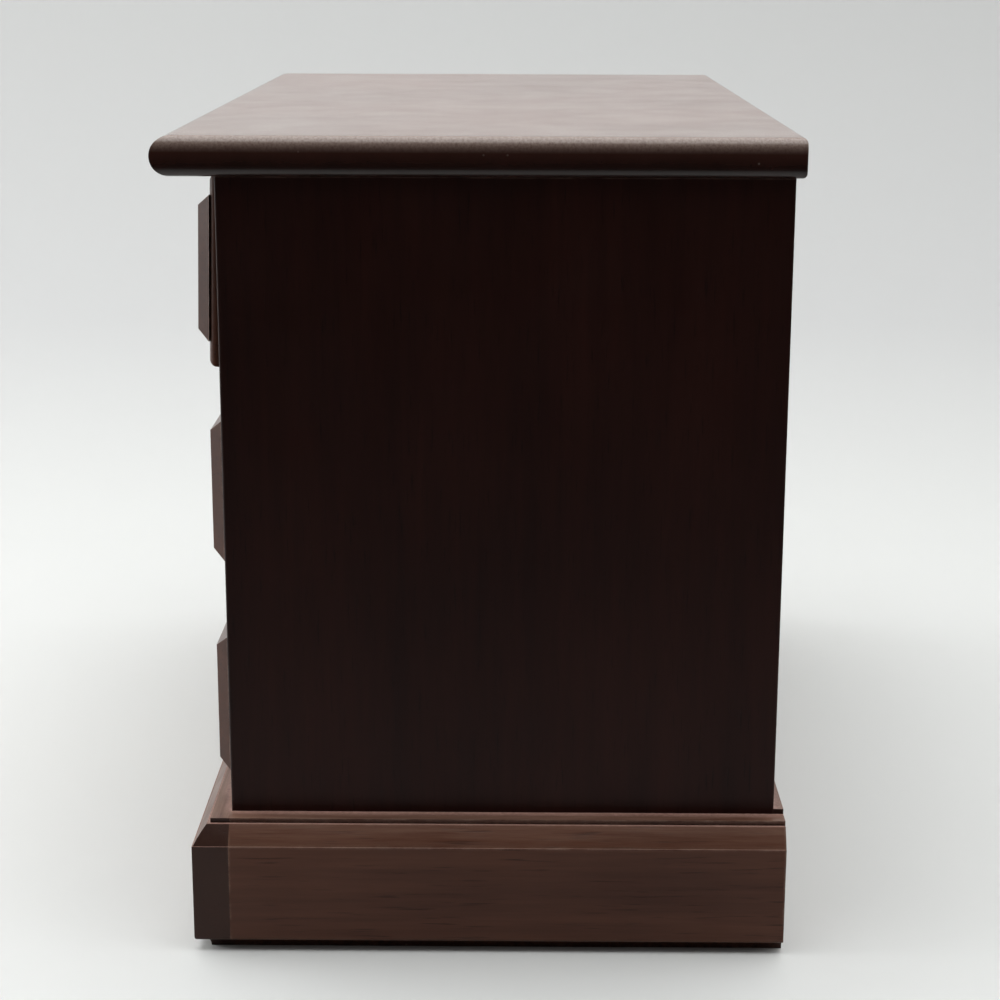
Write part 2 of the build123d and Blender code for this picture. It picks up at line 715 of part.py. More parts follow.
# Mirror in a bevelled frame under the lid, which ends in front of the finger of the stop lever
inner_front_y = false_front_foot.Y + front_thickness + fit_gap
mirror_front_y = inner_front_y + mirror_front_margin + mirror_frame_border
mirror_rear_y = finger_y - stop_lever_width / 2 - mirror_lever_gap - mirror_frame_border
mirror_depth = mirror_rear_y - mirror_front_y
mirror_centre_y = (mirror_front_y + mirror_rear_y) / 2
with BuildPart() as mirror_frame:
    with BuildSketch(Plane.XY.offset(case_height)):
        with Locations((0, mirror_centre_y)):
            Rectangle(mirror_width + 2 * mirror_frame_border, mirror_depth + 2 * mirror_frame_border)
    extrude(amount=-mirror_frame_thickness)
    chamfer(mirror_frame.faces().sort_by(Axis.Z)[0].edges(), mirror_frame_bevel)
    with BuildSketch(Plane.XY.offset(case_height)):
        with Locations((0, mirror_centre_y)):
            Rectangle(mirror_width, mirror_depth)
    extrude(amount=-mirror_thickness, mode=Mode.SUBTRACT)
    with BuildSketch(Plane.XY.offset(case_height - mirror_frame_thickness)):
        with Locations((0, mirror_centre_y)):
            Rectangle(mirror_width - 2 * mirror_frame_lap, mirror_depth - 2 * mirror_frame_lap)
    extrude(amount=mirror_frame_thickness, mode=Mode.SUBTRACT)
mirror_frame.part.label = "mirror_frame"
export_step(mirror_frame.part, "parts/mirror_frame.step")
with BuildPart() as mirror:
    with BuildSketch(Plane.XY.offset(case_height)):
        with Locations((0, mirror_centre_y)):
            Rectangle(mirror_width - 2 * fit_gap, mirror_depth - 2 * fit_gap)
    extrude(amount=-mirror_thickness)
mirror.part.label = "mirror"
export_step(mirror.part, "parts/mirror.step")

# Brass bail pulls, one on each front. The bail hangs plumb from its two posts.
post_shank_length = block_proud + front_thickness
bail_arm_x = pull_post_spacing / 2 - pull_post_head_radius - pull_bail_radius - bail_side_gap
for name, block_face_plane in (
    ("false", Plane(origin=false_block_plane.origin + false_block_plane.z_dir * block_proud,
                    x_dir=(1, 0, 0), z_dir=false_block_plane.z_dir)),
    ("lower", Plane(origin=(0, front_plane_y - block_proud, lower_floor_z + drawer_opening_height / 2),
                    x_dir=(1, 0, 0), z_dir=(0, -1, 0))),
    ("upper", Plane(origin=(0, front_plane_y - block_proud, upper_floor_z + drawer_opening_height / 2),
                    x_dir=(1, 0, 0), z_dir=(0, -1, 0))),
):
    with BuildPart() as pull_plate:
        with BuildSketch(block_face_plane):
            SlotOverall(pull_plate_width, pull_plate_height - 2 * pull_bail_radius)
            with Locations(pull_post_places):
                Circle(pull_lobe_radius)
            with Locations((0, -pull_bail_radius), (0, pull_bail_radius)):
                Circle((pull_plate_height - 2 * pull_bail_radius) / 2)
            with Locations(pull_post_places):
                Circle(pull_post_radius + fit_gap, mode=Mode.SUBTRACT)
        extrude(amount=pull_plate_thickness)
    pull_plate.part.label = f"{name}_pull_plate"
    export_step(pull_plate.part, f"parts/{name}_pull_plate.step")

    pivot = block_face_plane.from_local_coords((0, 0, pull_pivot_stand))
    head_plane = block_face_plane.offset(pull_plate_thickness)
    with BuildPart() as pull_posts:
        with BuildSketch(head_plane):
            with Locations(pull_post_places):
                Circle(pull_post_head_radius)
        extrude(amount=pull_post_head_length)
        fillet(pull_posts.edges().sort_by(Axis.Y)[:2], pull_post_head_radius / 2)
        with BuildSketch(head_plane):
            with Locations(pull_post_places):
                Circle(pull_post_radius)
        extrude(amount=-(pull_plate_thickness + post_shank_length + pull_nut_thickness))
        with BuildSketch(block_face_plane.offset(-post_shank_length)):
            with Locations(pull_post_places):
                RegularPolygon(pull_nut_radius, 6)
        extrude(amount=-pull_nut_thickness)
        with BuildSketch(Plane.YZ):
            with Locations((pivot.Y, pivot.Z)):
                Circle(pull_pivot_radius + bail_play)
        extrude(amount=pull_post_spacing / 2 + fit_gap, both=True, mode=Mode.SUBTRACT)
    pull_posts.part.label = f"{name}_pull_posts"
    export_step(pull_posts.part, f"parts/{name}_pull_posts.step")

    bail_plane = Plane(origin=pivot, x_dir=(1, 0, 0), z_dir=(0, -1, 0))
    with BuildPart() as pull_bail:
        with BuildLine(bail_plane) as bail_path:
            FilletPolyline(
                (-bail_arm_x, pull_bail_radius),
                (-bail_arm_x, -pull_bail_drop),
                (bail_arm_x, -pull_bail_drop),
                (bail_arm_x, pull_bail_radius),
                radius=pull_bail_corner,
            )
        with BuildSketch(Plane(origin=bail_path.line @ 0, z_dir=bail_path.line % 0)):
            Circle(pull_bail_radius)
        sweep(path=bail_path.line)
        with BuildSketch(Plane.YZ.offset(-pull_post_spacing / 2)):
            with Locations((pivot.Y, pivot.Z)):
                Circle(pull_pivot_radius)
        extrude(amount=pull_post_spacing / 2 - bail_arm_x)
        with BuildSketch(Plane.YZ.offset(pull_post_spacing / 2)):
            with Locations((pivot.Y, pivot.Z)):
                Circle(pull_pivot_radius)
        extrude(amount=bail_arm_x - pull_post_spacing / 2)
    pull_bail.part.label = f"{name}_pull_bail"
    export_step(pull_bail.part, f"parts/{name}_pull_bail.step")

# Top compartment: velvet lining, partitions round the movement bay and the ring rolls
inner_left_x = -half_inner
bay_right_x = inner_left_x + bay_width
bay_front_y = inner_rear_y - bay_depth
false_front_lean_run = false_front_height * sin(radians(false_front_lean))
lining_front_y = inner_front_y + pull_nut_thickness + false_front_lean_run
partition_top_z = case_height - partition_top_gap
lining_top_z = case_height - lining_top_gap
window_rebate = partition_thickness / 2
window_centre_x = (inner_left_x + bay_right_x + window_rebate) / 2
window_centre_y = (bay_front_y - window_rebate + inner_rear_y) / 2
with BuildPart() as compartment_partitions:
    with BuildSketch(Plane.XY.offset(compartment_z)):
        with BuildLine():
            Polyline(
                (inner_left_x, bay_front_y),
                (bay_right_x, bay_front_y),
                (bay_right_x, inner_rear_y),
                (bay_right_x + partition_thickness, inner_rear_y),
                (bay_right_x + partition_thickness, bay_front_y - partition_thickness),
                (inner_left_x, bay_front_y - partition_thickness),
                (inner_left_x, bay_front_y),
            )
        make_face()
    extrude(amount=partition_top_z - compartment_z)
    with BuildSketch(Plane.XY.offset(partition_top_z - window_thickness)):
        with Locations((window_centre_x, window_centre_y)):
            Rectangle(bay_width + window_rebate, bay_depth + window_rebate)
    extrude(amount=window_thickness, mode=Mode.SUBTRACT)
compartment_partitions.part.label = "compartment_partitions"
export_step(compartment_partitions.part, "parts/compartment_partitions.step")

with BuildPart() as compartment_lining:
    with BuildSketch(Plane.XY.offset(compartment_z)) as lining_outline:
        with Locations((0, (lining_front_y + inner_rear_y) / 2)):
            Rectangle(2 * half_inner - 2 * fit_gap, inner_rear_y - lining_front_y - 2 * fit_gap)
        with Locations(
            (
                (inner_left_x + bay_right_x + partition_thickness) / 2,
                (bay_front_y - partition_thickness + inner_rear_y) / 2,
            )
        ):
            Rectangle(
                bay_width + partition_thickness + 2 * fit_gap,
                bay_depth + partition_thickness + 2 * fit_gap,
                mode=Mode.SUBTRACT,
            )
    extrude(amount=lining_top_z - compartment_z)
    with BuildSketch(Plane.XY.offset(compartment_z + lining_floor)):
        add(lining_outline.sketch)
        offset(amount=-lining_thickness, mode=Mode.REPLACE)
    extrude(amount=lining_top_z - compartment_z, mode=Mode.SUBTRACT)
compartment_lining.part.label = "compartment_lining"
export_step(compartment_lining.part, "parts/compartment_lining.step")

# Ring rolls: padded half-round bars side by side, with a slot between each two
ring_left_x = half_inner - lining_thickness - fit_gap - ring_section_width
ring_floor_z = compartment_z + lining_floor
ring_front_y = lining_front_y + lining_thickness + fit_gap + ring_roll_end_gap
ring_rear_y = inner_rear_y - lining_thickness - fit_gap - ring_roll_end_gap
ring_pitch = ring_section_width / ring_roll_count
roll_radius = (ring_pitch - ring_roll_slot) / 2
with BuildPart() as ring_rolls:
    with BuildSketch(Plane.XZ.offset(-ring_rear_y)):
        for roll in range(ring_roll_count):
            roll_x = ring_left_x + (roll + 0.5) * ring_pitch
            with Locations((roll_x, ring_floor_z + (ring_roll_height - roll_radius) / 2)):
                Rectangle(2 * roll_radius, ring_roll_height - roll_radius)
            with Locations((roll_x, ring_floor_z + ring_roll_height - roll_radius)):
                Circle(roll_radius)
    extrude(amount=ring_rear_y - ring_front_y)
ring_rolls.part.label = "ring_rolls"
export_step(ring_rolls.part, "parts/ring_rolls.step")

# Gears of the movement


def gear_teeth(plane, teeth, start_angle):
    """Outline of a spur gear with slim straight-sided teeth."""
    root_radius = gear_module * teeth / 2 - tooth_dedendum
    tip_radius = gear_module * teeth / 2 + tooth_addendum
    with BuildSketch(plane) as outline:
        Circle(root_radius)
        with PolarLocations(0, teeth, start_angle=start_angle):
            Polygon(
                (root_radius - tooth_dedendum, -tooth_root_width / 2),
                (tip_radius, -tooth_tip_width / 2),
                (tip_radius, tooth_tip_width / 2),
                (root_radius - tooth_dedendum, tooth_root_width / 2),
                align=None,
            )
    return outline.sketch



def across(x, y, z):
    """Plane that stands across an arbor, its origin at X, Y, Z and its normal along X."""
    return Plane(origin=(x, y, z), x_dir=(0, 1, 0), z_dir=(1, 0, 0))


with BuildPart() as great_wheel:
    with BuildSketch(Plane.XZ.offset(-crown_back_y)):
        with Locations((movement_x, movement_z)):
            Circle(crown_radius + crown_tooth_length / 2 + crown_rim)
            Circle(arbor_radius + fit_gap, mode=Mode.SUBTRACT)
    extrude(amount=crown_disc_thickness)
    with BuildSketch(Plane.XZ.offset(-crown_face_y)):
        with Locations((movement_x, movement_z)):
            with PolarLocations(crown_radius, crown_teeth, start_angle=180 / crown_teeth):
                Rectangle(crown_tooth_length, crown_tooth_width)
    extrude(amount=crown_tooth_height)
great_wheel.part.label = "great_wheel"
export_step(great_wheel.part, "parts/great_wheel.step")

with BuildPart() as spring_housing:
    with BuildSketch(Plane.XZ.offset(-housing_y)):
        with Locations((movement_x, movement_z)):
            Circle(housing_radius)
            Circle(arbor_radius + arbor_play, mode=Mode.SUBTRACT)
    extrude(amount=housing_length)
    chamfer(spring_housing.faces().sort_by(Axis.Y)[0].edges().sort_by(SortBy.RADIUS)[-1], housing_rim)
spring_housing.part.label = "spring_housing"
export_step(spring_housing.part, "parts/spring_housing.step")

key_end_y = case_rear_y + key_reach
key_shank_end_y = key_end_y - key_lobe_radius
with BuildPart() as winding_arbor:
    with BuildSketch(Plane.XZ.offset(-key_shank_end_y + fit_gap)):
        with Locations((movement_x, movement_z)):
            Circle(arbor_radius)
    extrude(amount=key_shank_end_y - fit_gap - crown_face_y + crown_tooth_height)
winding_arbor.part.label = "winding_arbor"
export_step(winding_arbor.part, "parts/winding_arbor.step")

with BuildPart() as winding_key:
    with BuildSketch(Plane.XY.offset(movement_z)):
        with Locations((movement_x, key_end_y - key_lobe_radius)):
            Rectangle(key_lobe_spread, key_lobe_radius)
            with Locations((-key_lobe_spread / 2, 0), (key_lobe_spread / 2, 0)):
                Circle(key_lobe_radius)
                Circle(key_lobe_hole_radius, mode=Mode.SUBTRACT)
    extrude(amount=key_thickness / 2, both=True)
    with BuildSketch(Plane.XZ.offset(-case_rear_y - key_gap)):
        with Locations((movement_x, movement_z)):
            Circle(key_shank_radius)
    extrude(amount=case_rear_y + key_gap - key_shank_end_y)
    with BuildSketch(Plane.XZ.offset(-case_rear_y)):
        with Locations((movement_x, movement_z)):
            Circle(arbor_radius + fit_gap)
    extrude(amount=case_rear_y - key_shank_end_y, mode=Mode.SUBTRACT)
winding_key.part.label = "winding_key"
export_step(winding_key.part, "parts/winding_key.step")

# Pinned cylinder with its end gear and pinion, fast on its arbor
pin_planes = []
for row in range(pin_rows):
    for tooth in range(comb_teeth):
        turn = radians(360 / pin_rows * row + pin_turn_step * tooth)
        pin_x = cylinder_left_x + (tooth + 0.5) * comb_pitch
        pin_y = cylinder_axis_y + cylinder_radius * cos(turn)
        pin_z = movement_z + cylinder_radius * sin(turn)
        pin_planes.append(Plane((pin_x, pin_y, pin_z), x_dir=(1, 0, 0), z_dir=(0, cos(turn), sin(turn))))
with BuildPart() as cylinder:
    with BuildSketch(across(cylinder_left_x, cylinder_axis_y, movement_z)):
        Circle(cylinder_radius)
    extrude(amount=cylinder_length)
    with Locations(*pin_planes):
        Box(pin_side, pin_side, 2 * pin_height)
    extrude(
        gear_teeth(across(gear_x, cylinder_axis_y, movement_z), cylinder_gear_teeth, 0),
        amount=gear_width,
        dir=(1, 0, 0),
    )
    with BuildSketch(across(gear_x, cylinder_axis_y, movement_z)):
        Circle(cylinder_arbor_radius + fit_gap)
    extrude(amount=gear_width, mode=Mode.SUBTRACT)
    with BuildSketch(across(cylinder_left_x, cylinder_axis_y, movement_z)):
        Circle(cylinder_arbor_radius + fit_gap)
    extrude(amount=cylinder_length, mode=Mode.SUBTRACT)
cylinder.part.label = "cylinder"
export_step(cylinder.part, "parts/cylinder.step")

arbor_left_x = pinion_x - pinion_length
with BuildPart() as cylinder_arbor:
    with BuildSketch(across(arbor_left_x, cylinder_axis_y, movement_z)):
        Circle(cylinder_arbor_radius)
    extrude(amount=right_bearing_x + bearing_width + bearing_gap - arbor_left_x)
    extrude(
        gear_teeth(
            across(pinion_x - pinion_length / 2, cylinder_axis_y, movement_z), cylinder_pinion_teeth, 0
        ),
        amount=pinion_length,
        dir=(1, 0, 0),
    )
cylinder_arbor.part.label = "cylinder_arbor"
export_step(cylinder_arbor.part, "parts/cylinder_arbor.step")

# Intermediate wheel: a pinion driven by the cylinder gear and a wheel that drives the worm of the fly
with BuildPart() as intermediate_wheel:
    with BuildSketch(across(wheel_left_ear_x - bearing_gap, cylinder_axis_y, wheel_axis_z)):
        Circle(cylinder_arbor_radius)
    extrude(amount=wheel_right_ear_x + bearing_width + 2 * bearing_gap - wheel_left_ear_x)
    extrude(
        gear_teeth(
            across(gear_x, cylinder_axis_y, wheel_axis_z), wheel_pinion_teeth, 180 / wheel_pinion_teeth
        ),
        amount=gear_width,
        dir=(1, 0, 0),
    )
    extrude(
        gear_teeth(across(wheel_x, cylinder_axis_y, wheel_axis_z), wheel_teeth, 0),
        amount=wheel_width,
        dir=(1, 0, 0),
    )
intermediate_wheel.part.label = "intermediate_wheel"
export_step(intermediate_wheel.part, "parts/intermediate_wheel.step")

# Governor fly: two vanes over a plain worm core on an upright arbor
fly_foot_z = wheel_axis_z - worm_length / 2 - governor_foot_reach
fly_top_z = comb_top_z - governor_tab_thickness
with BuildPart() as governor_fly:
    with BuildSketch(Plane.XY.offset(fly_foot_z)):
        with Locations((fly_axis_x, fly_axis_y)):
            Circle(fly_arbor_radius)
    extrude(amount=fly_top_z - fly_foot_z)
    with BuildSketch(Plane.XY.offset(wheel_axis_z - worm_length / 2)):
        with Locations((fly_axis_x, fly_axis_y)):
            Circle(worm_core_radius)
    extrude(amount=worm_length)
    with BuildSketch(Plane.XY.offset(fly_top_z - fly_height - fly_top_gap)):
        with Locations((fly_axis_x, fly_axis_y)):
            Circle(fly_hub_radius)
            Rectangle(2 * fly_radius - fly_thickness, fly_thickness)
    extrude(amount=fly_height)
governor_fly.part.label = "governor_fly"
export_step(governor_fly.part, "parts/governor_fly.step")

# Governor frame: a plate with two pierced tabs for the fly and two ears for the intermediate wheel
tab_reach = housing_y - fly_axis_y + bearing_radius
ear_reach = housing_y - cylinder_axis_y + bearing_radius
lower_tab_z = fly_foot_z + fit_gap
with BuildPart() as governor_frame:
    with BuildSketch(Plane.XZ.offset(-housing_y)):
        with BuildLine():
            Polyline(
                (wheel_left_ear_x, lower_tab_z),
                (wheel_right_ear_x + bearing_width, lower_tab_z),
                (wheel_right_ear_x + bearing_width, fly_top_z),
                (fly_axis_x - fly_radius, fly_top_z),
                (fly_axis_x - fly_radius, wheel_axis_z + 2 * bearing_radius),
                (wheel_left_ear_x, wheel_axis_z + 2 * bearing_radius),
                (wheel_left_ear_x, lower_tab_z),
            )
        make_face()
    extrude(amount=governor_plate_thickness)
    for tab_z in (lower_tab_z, fly_top_z - fly_top_gap + fit_gap):
        with BuildSketch(Plane.XY.offset(tab_z)):
            with Locations((fly_axis_x, housing_y - tab_reach / 2)):
                Rectangle(2 * bearing_radius, tab_reach)
        extrude(amount=governor_tab_thickness)
    for ear_x in (wheel_left_ear_x, wheel_right_ear_x):
        with BuildSketch(Plane.YZ.offset(ear_x)):
            with Locations((housing_y - (ear_reach - bearing_radius) / 2, wheel_axis_z)):
                Rectangle(ear_reach - bearing_radius, 2 * bearing_radius)
            with Locations((cylinder_axis_y, wheel_axis_z)):
                Circle(bearing_radius)
        extrude(amount=bearing_width)
    with BuildSketch(Plane.XY.offset(lower_tab_z - governor_tab_thickness)):
        with Locations((fly_axis_x, fly_axis_y)):
            Circle(fly_arbor_radius + arbor_play)
    extrude(amount=bedplate_height, mode=Mode.SUBTRACT)
    with BuildSketch(Plane.YZ.offset(wheel_left_ear_x)):
        with Locations((cylinder_axis_y, wheel_axis_z)):
            Circle(cylinder_arbor_radius + arbor_play)
    extrude(amount=wheel_right_ear_x + bearing_width - wheel_left_ear_x, mode=Mode.SUBTRACT)
governor_frame.part.label = "governor_frame"
export_step(governor_frame.part, "parts/governor_frame.step")

# Comb: slim teeth that lengthen towards the bass, on a thicker root
comb_tip_z = movement_z + cylinder_radius + pin_height + comb_tip_gap
comb_front_y = cylinder_axis_y - comb_thickness / 2
comb_root_y = comb_front_y + comb_base_thickness
bass_root_z = comb_top_z - comb_bass_base
treble_root_z = comb_tip_z + comb_treble_share * (bass_root_z - comb_tip_z)
comb_screw_z = (bass_root_z + comb_top_z) / 2
comb_screw_places = [
    (cylinder_left_x + cylinder_length / 4, comb_screw_z),
    (cylinder_right_x - cylinder_length / 4, comb_screw_z),
]
with BuildPart() as comb:
    with BuildSketch(Plane.XZ.offset(-comb_root_y)):
        with BuildLine():
            Polyline(
                (cylinder_left_x, bass_root_z),
                (cylinder_left_x, comb_top_z),
                (cylinder_right_x, comb_top_z),
                (cylinder_right_x, treble_root_z),
                (cylinder_left_x, bass_root_z),
            )
        make_face()
        with Locations(comb_screw_places):
            Circle(comb_screw_radius + fit_gap, mode=Mode.SUBTRACT)
    extrude(amount=comb_base_thickness)
    with BuildSketch(Plane.XZ.offset(-comb_front_y - comb_thickness)):
        for tooth in range(comb_teeth):
            tooth_x = cylinder_left_x + (tooth + 0.5) * comb_pitch
            half_tooth = (comb_pitch - comb_tooth_gap) / 2
            with Locations((tooth_x, (comb_tip_z + bass_root_z) / 2)):
                Rectangle(2 * half_tooth, bass_root_z - comb_tip_z)
    extrude(amount=comb_thickness)
comb.part.label = "comb"
export_step(comb.part, "parts/comb.step")

with BuildPart() as comb_screws:
    with BuildSketch(Plane.XZ.offset(-comb_front_y)):
        with Locations(comb_screw_places):
            Circle(comb_screw_head_radius)
    extrude(amount=comb_screw_head)
    with BuildSketch(Plane.XZ.offset(-comb_front_y + comb_screw_head)):
        with Locations(comb_screw_places):
            Rectangle(2 * (comb_screw_head_radius + fit_gap), screw_slot_width)
    extrude(amount=-comb_screw_head / 2, mode=Mode.SUBTRACT)
    with BuildSketch(Plane.XZ.offset(-comb_front_y)):
        with Locations(comb_screw_places):
            Circle(comb_screw_radius)
    extrude(amount=-(comb_base_thickness + comb_screw_depth))
comb_screws.part.label = "comb_screws"
export_step(comb_screws.part, "parts/comb_screws.step")

# Bedplate casting: back plate, comb block, two bearings of the cylinder and the ear of the stop lever
lever_axis_z = fly_top_z - lever_axis_drop
lever_left_x = wheel_right_ear_x + bearing_width
lever_ear_x = lever_left_x + stop_lever_thickness + bearing_gap
bearing_reach = housing_y - cylinder_axis_y
with BuildPart() as bedplate:
    with BuildSketch(Plane.XZ.offset(-inner_rear_y)):
        with Locations(
            ((bedplate_left_x + bedplate_right_x) / 2, bedplate_foot_z + bedplate_height / 2)
        ):
            RectangleRounded(bedplate_width, bedplate_height, bedplate_corner)
        with Locations((movement_x, movement_z)):
            Circle(arbor_radius + arbor_play, mode=Mode.SUBTRACT)
        with Locations(bedplate_screw_places):
            Circle(movement_screw_radius + fit_gap, mode=Mode.SUBTRACT)
    extrude(amount=bedplate_thickness)
    with BuildSketch(Plane.XZ.offset(-housing_y)):
        with Locations(((cylinder_left_x + cylinder_right_x) / 2, (bass_root_z + comb_top_z) / 2)):
            Rectangle(cylinder_length, comb_top_z - bass_root_z)
    extrude(amount=housing_y - comb_root_y)
    with BuildSketch(Plane.XZ.offset(-comb_root_y)):
        with Locations(comb_screw_places):
            Circle(comb_screw_radius + fit_gap)
    extrude(amount=-comb_screw_depth - fit_gap, mode=Mode.SUBTRACT)
    for bearing_x in (left_bearing_x, right_bearing_x):
        with BuildSketch(Plane.YZ.offset(bearing_x)):
            with Locations((housing_y - bearing_reach / 2, movement_z)):
                Rectangle(bearing_reach, 2 * bearing_radius)
            with Locations((cylinder_axis_y, movement_z)):
                Circle(bearing_radius)
                Circle(cylinder_arbor_radius + arbor_play, mode=Mode.SUBTRACT)
        extrude(amount=bearing_width)
    with BuildSketch(Plane.YZ.offset(lever_ear_x)):
        with Locations(((housing_y + lever_axis_y) / 2, lever_axis_z)):
            Rectangle(housing_y - lever_axis_y, 2 * bearing_radius)
        with Locations((lever_axis_y, lever_axis_z)):
            Circle(bearing_radius)
            Circle(stop_lever_pin_radius + arbor_play, mode=Mode.SUBTRACT)
    extrude(amount=bearing_width)
bedplate.part.label = "bedplate"
export_step(bedplate.part, "parts/bedplate.step")

with BuildPart() as movement_screws:
    with BuildSketch(Plane.XZ.offset(-housing_y)):
        with Locations(bedplate_screw_places):
            Circle(movement_screw_head_radius)
    extrude(amount=movement_screw_head)
    with BuildSketch(Plane.XZ.offset(-housing_y + movement_screw_head)):
        with Locations(bedplate_screw_places):
            Rectangle(2 * (movement_screw_head_radius + fit_gap), screw_slot_width)
    extrude(amount=-movement_screw_head / 2, mode=Mode.SUBTRACT)
    with BuildSketch(Plane.XZ.offset(-housing_y)):
        with Locations(bedplate_screw_places):
            Circle(movement_screw_radius)
    extrude(amount=-(bedplate_thickness + movement_screw_depth))
movement_screws.part.label = "movement_screws"
export_step(movement_screws.part, "parts/movement_screws.step")

# Stop lever: its finger waits under the lid and its tail stands beside the fly
finger_top_z = case_height - stop_lever_lid_gap
with BuildPart() as stop_lever:
    with BuildSketch(Plane.YZ.offset(lever_left_x + bearing_gap / 2)):
        with Locations(((lever_axis_y + finger_y) / 2, lever_axis_z)):
            Rectangle(stop_lever_reach + stop_lever_width, stop_lever_width)
        with Locations((finger_y, (lever_axis_z + finger_top_z) / 2)):
            Rectangle(stop_lever_width, finger_top_z - lever_axis_z)
        with Locations((lever_axis_y, lever_axis_z - stop_lever_tail / 2)):
            Rectangle(stop_lever_width, stop_lever_tail)
    extrude(amount=stop_lever_thickness)
    with BuildSketch(Plane.YZ.offset(lever_left_x + bearing_gap / 2)):
        with Locations((lever_axis_y, lever_axis_z)):
            Circle(stop_lever_pin_radius)
    extrude(amount=stop_lever_thickness + bearing_width + 2 * bearing_gap)
stop_lever.part.label = "stop_lever"
export_step(stop_lever.part, "parts/stop_lever.step")

# Clear window over the movement, slotted for the finger of the stop lever
with BuildPart() as movement_window:
    with BuildSketch(Plane.XY.offset(partition_top_z - window_thickness)):
        with Locations((window_centre_x, window_centre_y)):
            Rectangle(bay_width + window_rebate - 2 * window_gap, bay_depth + window_rebate - 2 * window_gap)
        with Locations((lever_left_x + stop_lever_thickness, finger_y + window_slot_shift)):
            SlotOverall(window_slot_length, window_slot_width, rotation=90, mode=Mode.SUBTRACT)
    extrude(amount=window_thickness)
movement_window.part.label = "movement_window"
export_step(movement_window.part, "parts/movement_window.step")
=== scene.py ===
from math import cos, pi, radians, sin

import bmesh
import bpy
from mathutils import Matrix, Vector


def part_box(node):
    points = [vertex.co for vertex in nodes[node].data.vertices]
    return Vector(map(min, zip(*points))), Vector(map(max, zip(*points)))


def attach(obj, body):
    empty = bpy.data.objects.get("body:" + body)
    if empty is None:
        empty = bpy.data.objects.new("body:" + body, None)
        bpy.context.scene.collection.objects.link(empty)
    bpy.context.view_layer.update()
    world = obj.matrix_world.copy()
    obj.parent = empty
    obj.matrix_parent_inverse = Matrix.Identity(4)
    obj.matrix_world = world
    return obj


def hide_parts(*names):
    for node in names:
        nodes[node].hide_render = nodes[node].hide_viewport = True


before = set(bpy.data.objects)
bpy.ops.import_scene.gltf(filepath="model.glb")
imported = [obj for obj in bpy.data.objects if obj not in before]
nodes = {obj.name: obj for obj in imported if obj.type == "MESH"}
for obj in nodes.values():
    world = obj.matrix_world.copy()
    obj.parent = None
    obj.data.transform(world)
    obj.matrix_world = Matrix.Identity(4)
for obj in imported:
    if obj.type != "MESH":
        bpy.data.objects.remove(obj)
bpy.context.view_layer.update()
scene = bpy.context.scene

# Studio camera, standing off the right side of the box at the height of a seated eye.
# Its place, turn and lens were fitted to the straight edges of lid, case and plinth.
camera_place = Vector((0.63812, 0.0029, 0.24219))
camera_yaw = radians(0.335)
camera_pitch = radians(14.201)
camera_roll = radians(0.198)
sensor_width = 36.0
focal_in_pixels = 2155.8
image_width = 1000
camera_data = bpy.data.cameras.new("camera")
camera_data.sensor_width = sensor_width
camera_data.lens = focal_in_pixels / image_width * sensor_width
camera_data.clip_start = 0.01
camera = bpy.data.objects.new("camera", camera_data)
scene.collection.objects.link(camera)
forward = Vector(
    (
        -cos(camera_yaw) * cos(camera_pitch),
        -sin(camera_yaw) * cos(camera_pitch),
        -sin(camera_pitch),
    )
)
level_right = Vector((-sin(camera_yaw), cos(camera_yaw), 0))
level_up = level_right.cross(forward)
camera_right = cos(camera_roll) * level_right + sin(camera_roll) * level_up
camera_up = cos(camera_roll) * level_up - sin(camera_roll) * level_right
camera.matrix_world = Matrix(
    (
        (camera_right.x, camera_up.x, -forward.x, camera_place.x),
        (camera_right.y, camera_up.y, -forward.y, camera_place.y),
        (camera_right.z, camera_up.z, -forward.z, camera_place.z),
        (0, 0, 0, 1),
    )
)
scene.camera = camera
scene.view_settings.view_transform = "Standard"

# Studio table and backdrop: one pale sheet of paper that lies flat under the box and sweeps up behind it.
# Its colour carries painted light and shade: tones that change with height up the sweep,
# painted shade that only the lens sees towards the back and the front, a painted dark reflection
# past the front that the box's lacquer mirrors, and far from the box a painted glow that fades
# the paper into the even light of the room.


def spread(tree, value, low, high, to_low=0.0, to_high=1.0):
    """Map Range node from low..high to to_low..to_high, clamped."""
    ranger = tree.nodes.new("ShaderNodeMapRange")
    ranger.inputs["From Min"].default_value = low
    ranger.inputs["From Max"].default_value = high
    ranger.inputs["To Min"].default_value = to_low
    ranger.inputs["To Max"].default_value = to_high
    tree.links.new(value, ranger.inputs["Value"])
    return ranger.outputs["Result"]


def arithmetic(tree, operation, first, second):
    """Math node on two sockets or numbers."""
    node = tree.nodes.new("ShaderNodeMath")
    node.operation = operation
    for socket, value in zip(node.inputs, (first, second)):
        if isinstance(value, (int, float)):
            socket.default_value = value
        else:
            tree.links.new(value, socket)
    return node.outputs[0]


def blend_colours(tree, factor, first, second, mode="MIX"):
    """Colour Mix node; each colour is a socket or a fixed colour."""
    node = tree.nodes.new("ShaderNodeMix")
    node.data_type = "RGBA"
    node.blend_type = mode
    for socket, value in ((node.inputs[0], factor), (node.inputs[6], first), (node.inputs[7], second)):
        if isinstance(value, (int, float, tuple)):
            socket.default_value = value
        else:
            tree.links.new(value, socket)
    return node.outputs[2]


def colour_ramp(tree, value, *stops):
    """Colour Ramp node that reads a value, each stop given as a place and a colour."""
    node = tree.nodes.new("ShaderNodeValToRGB")
    elements = node.color_ramp.elements
    for element, (place, colour) in zip(elements, stops):
        element.position = place
        element.color = colour
    for place, colour in stops[len(elements):]:
        elements.new(place).color = colour
    tree.links.new(value, node.inputs["Fac"])
    return node.outputs["Color"]


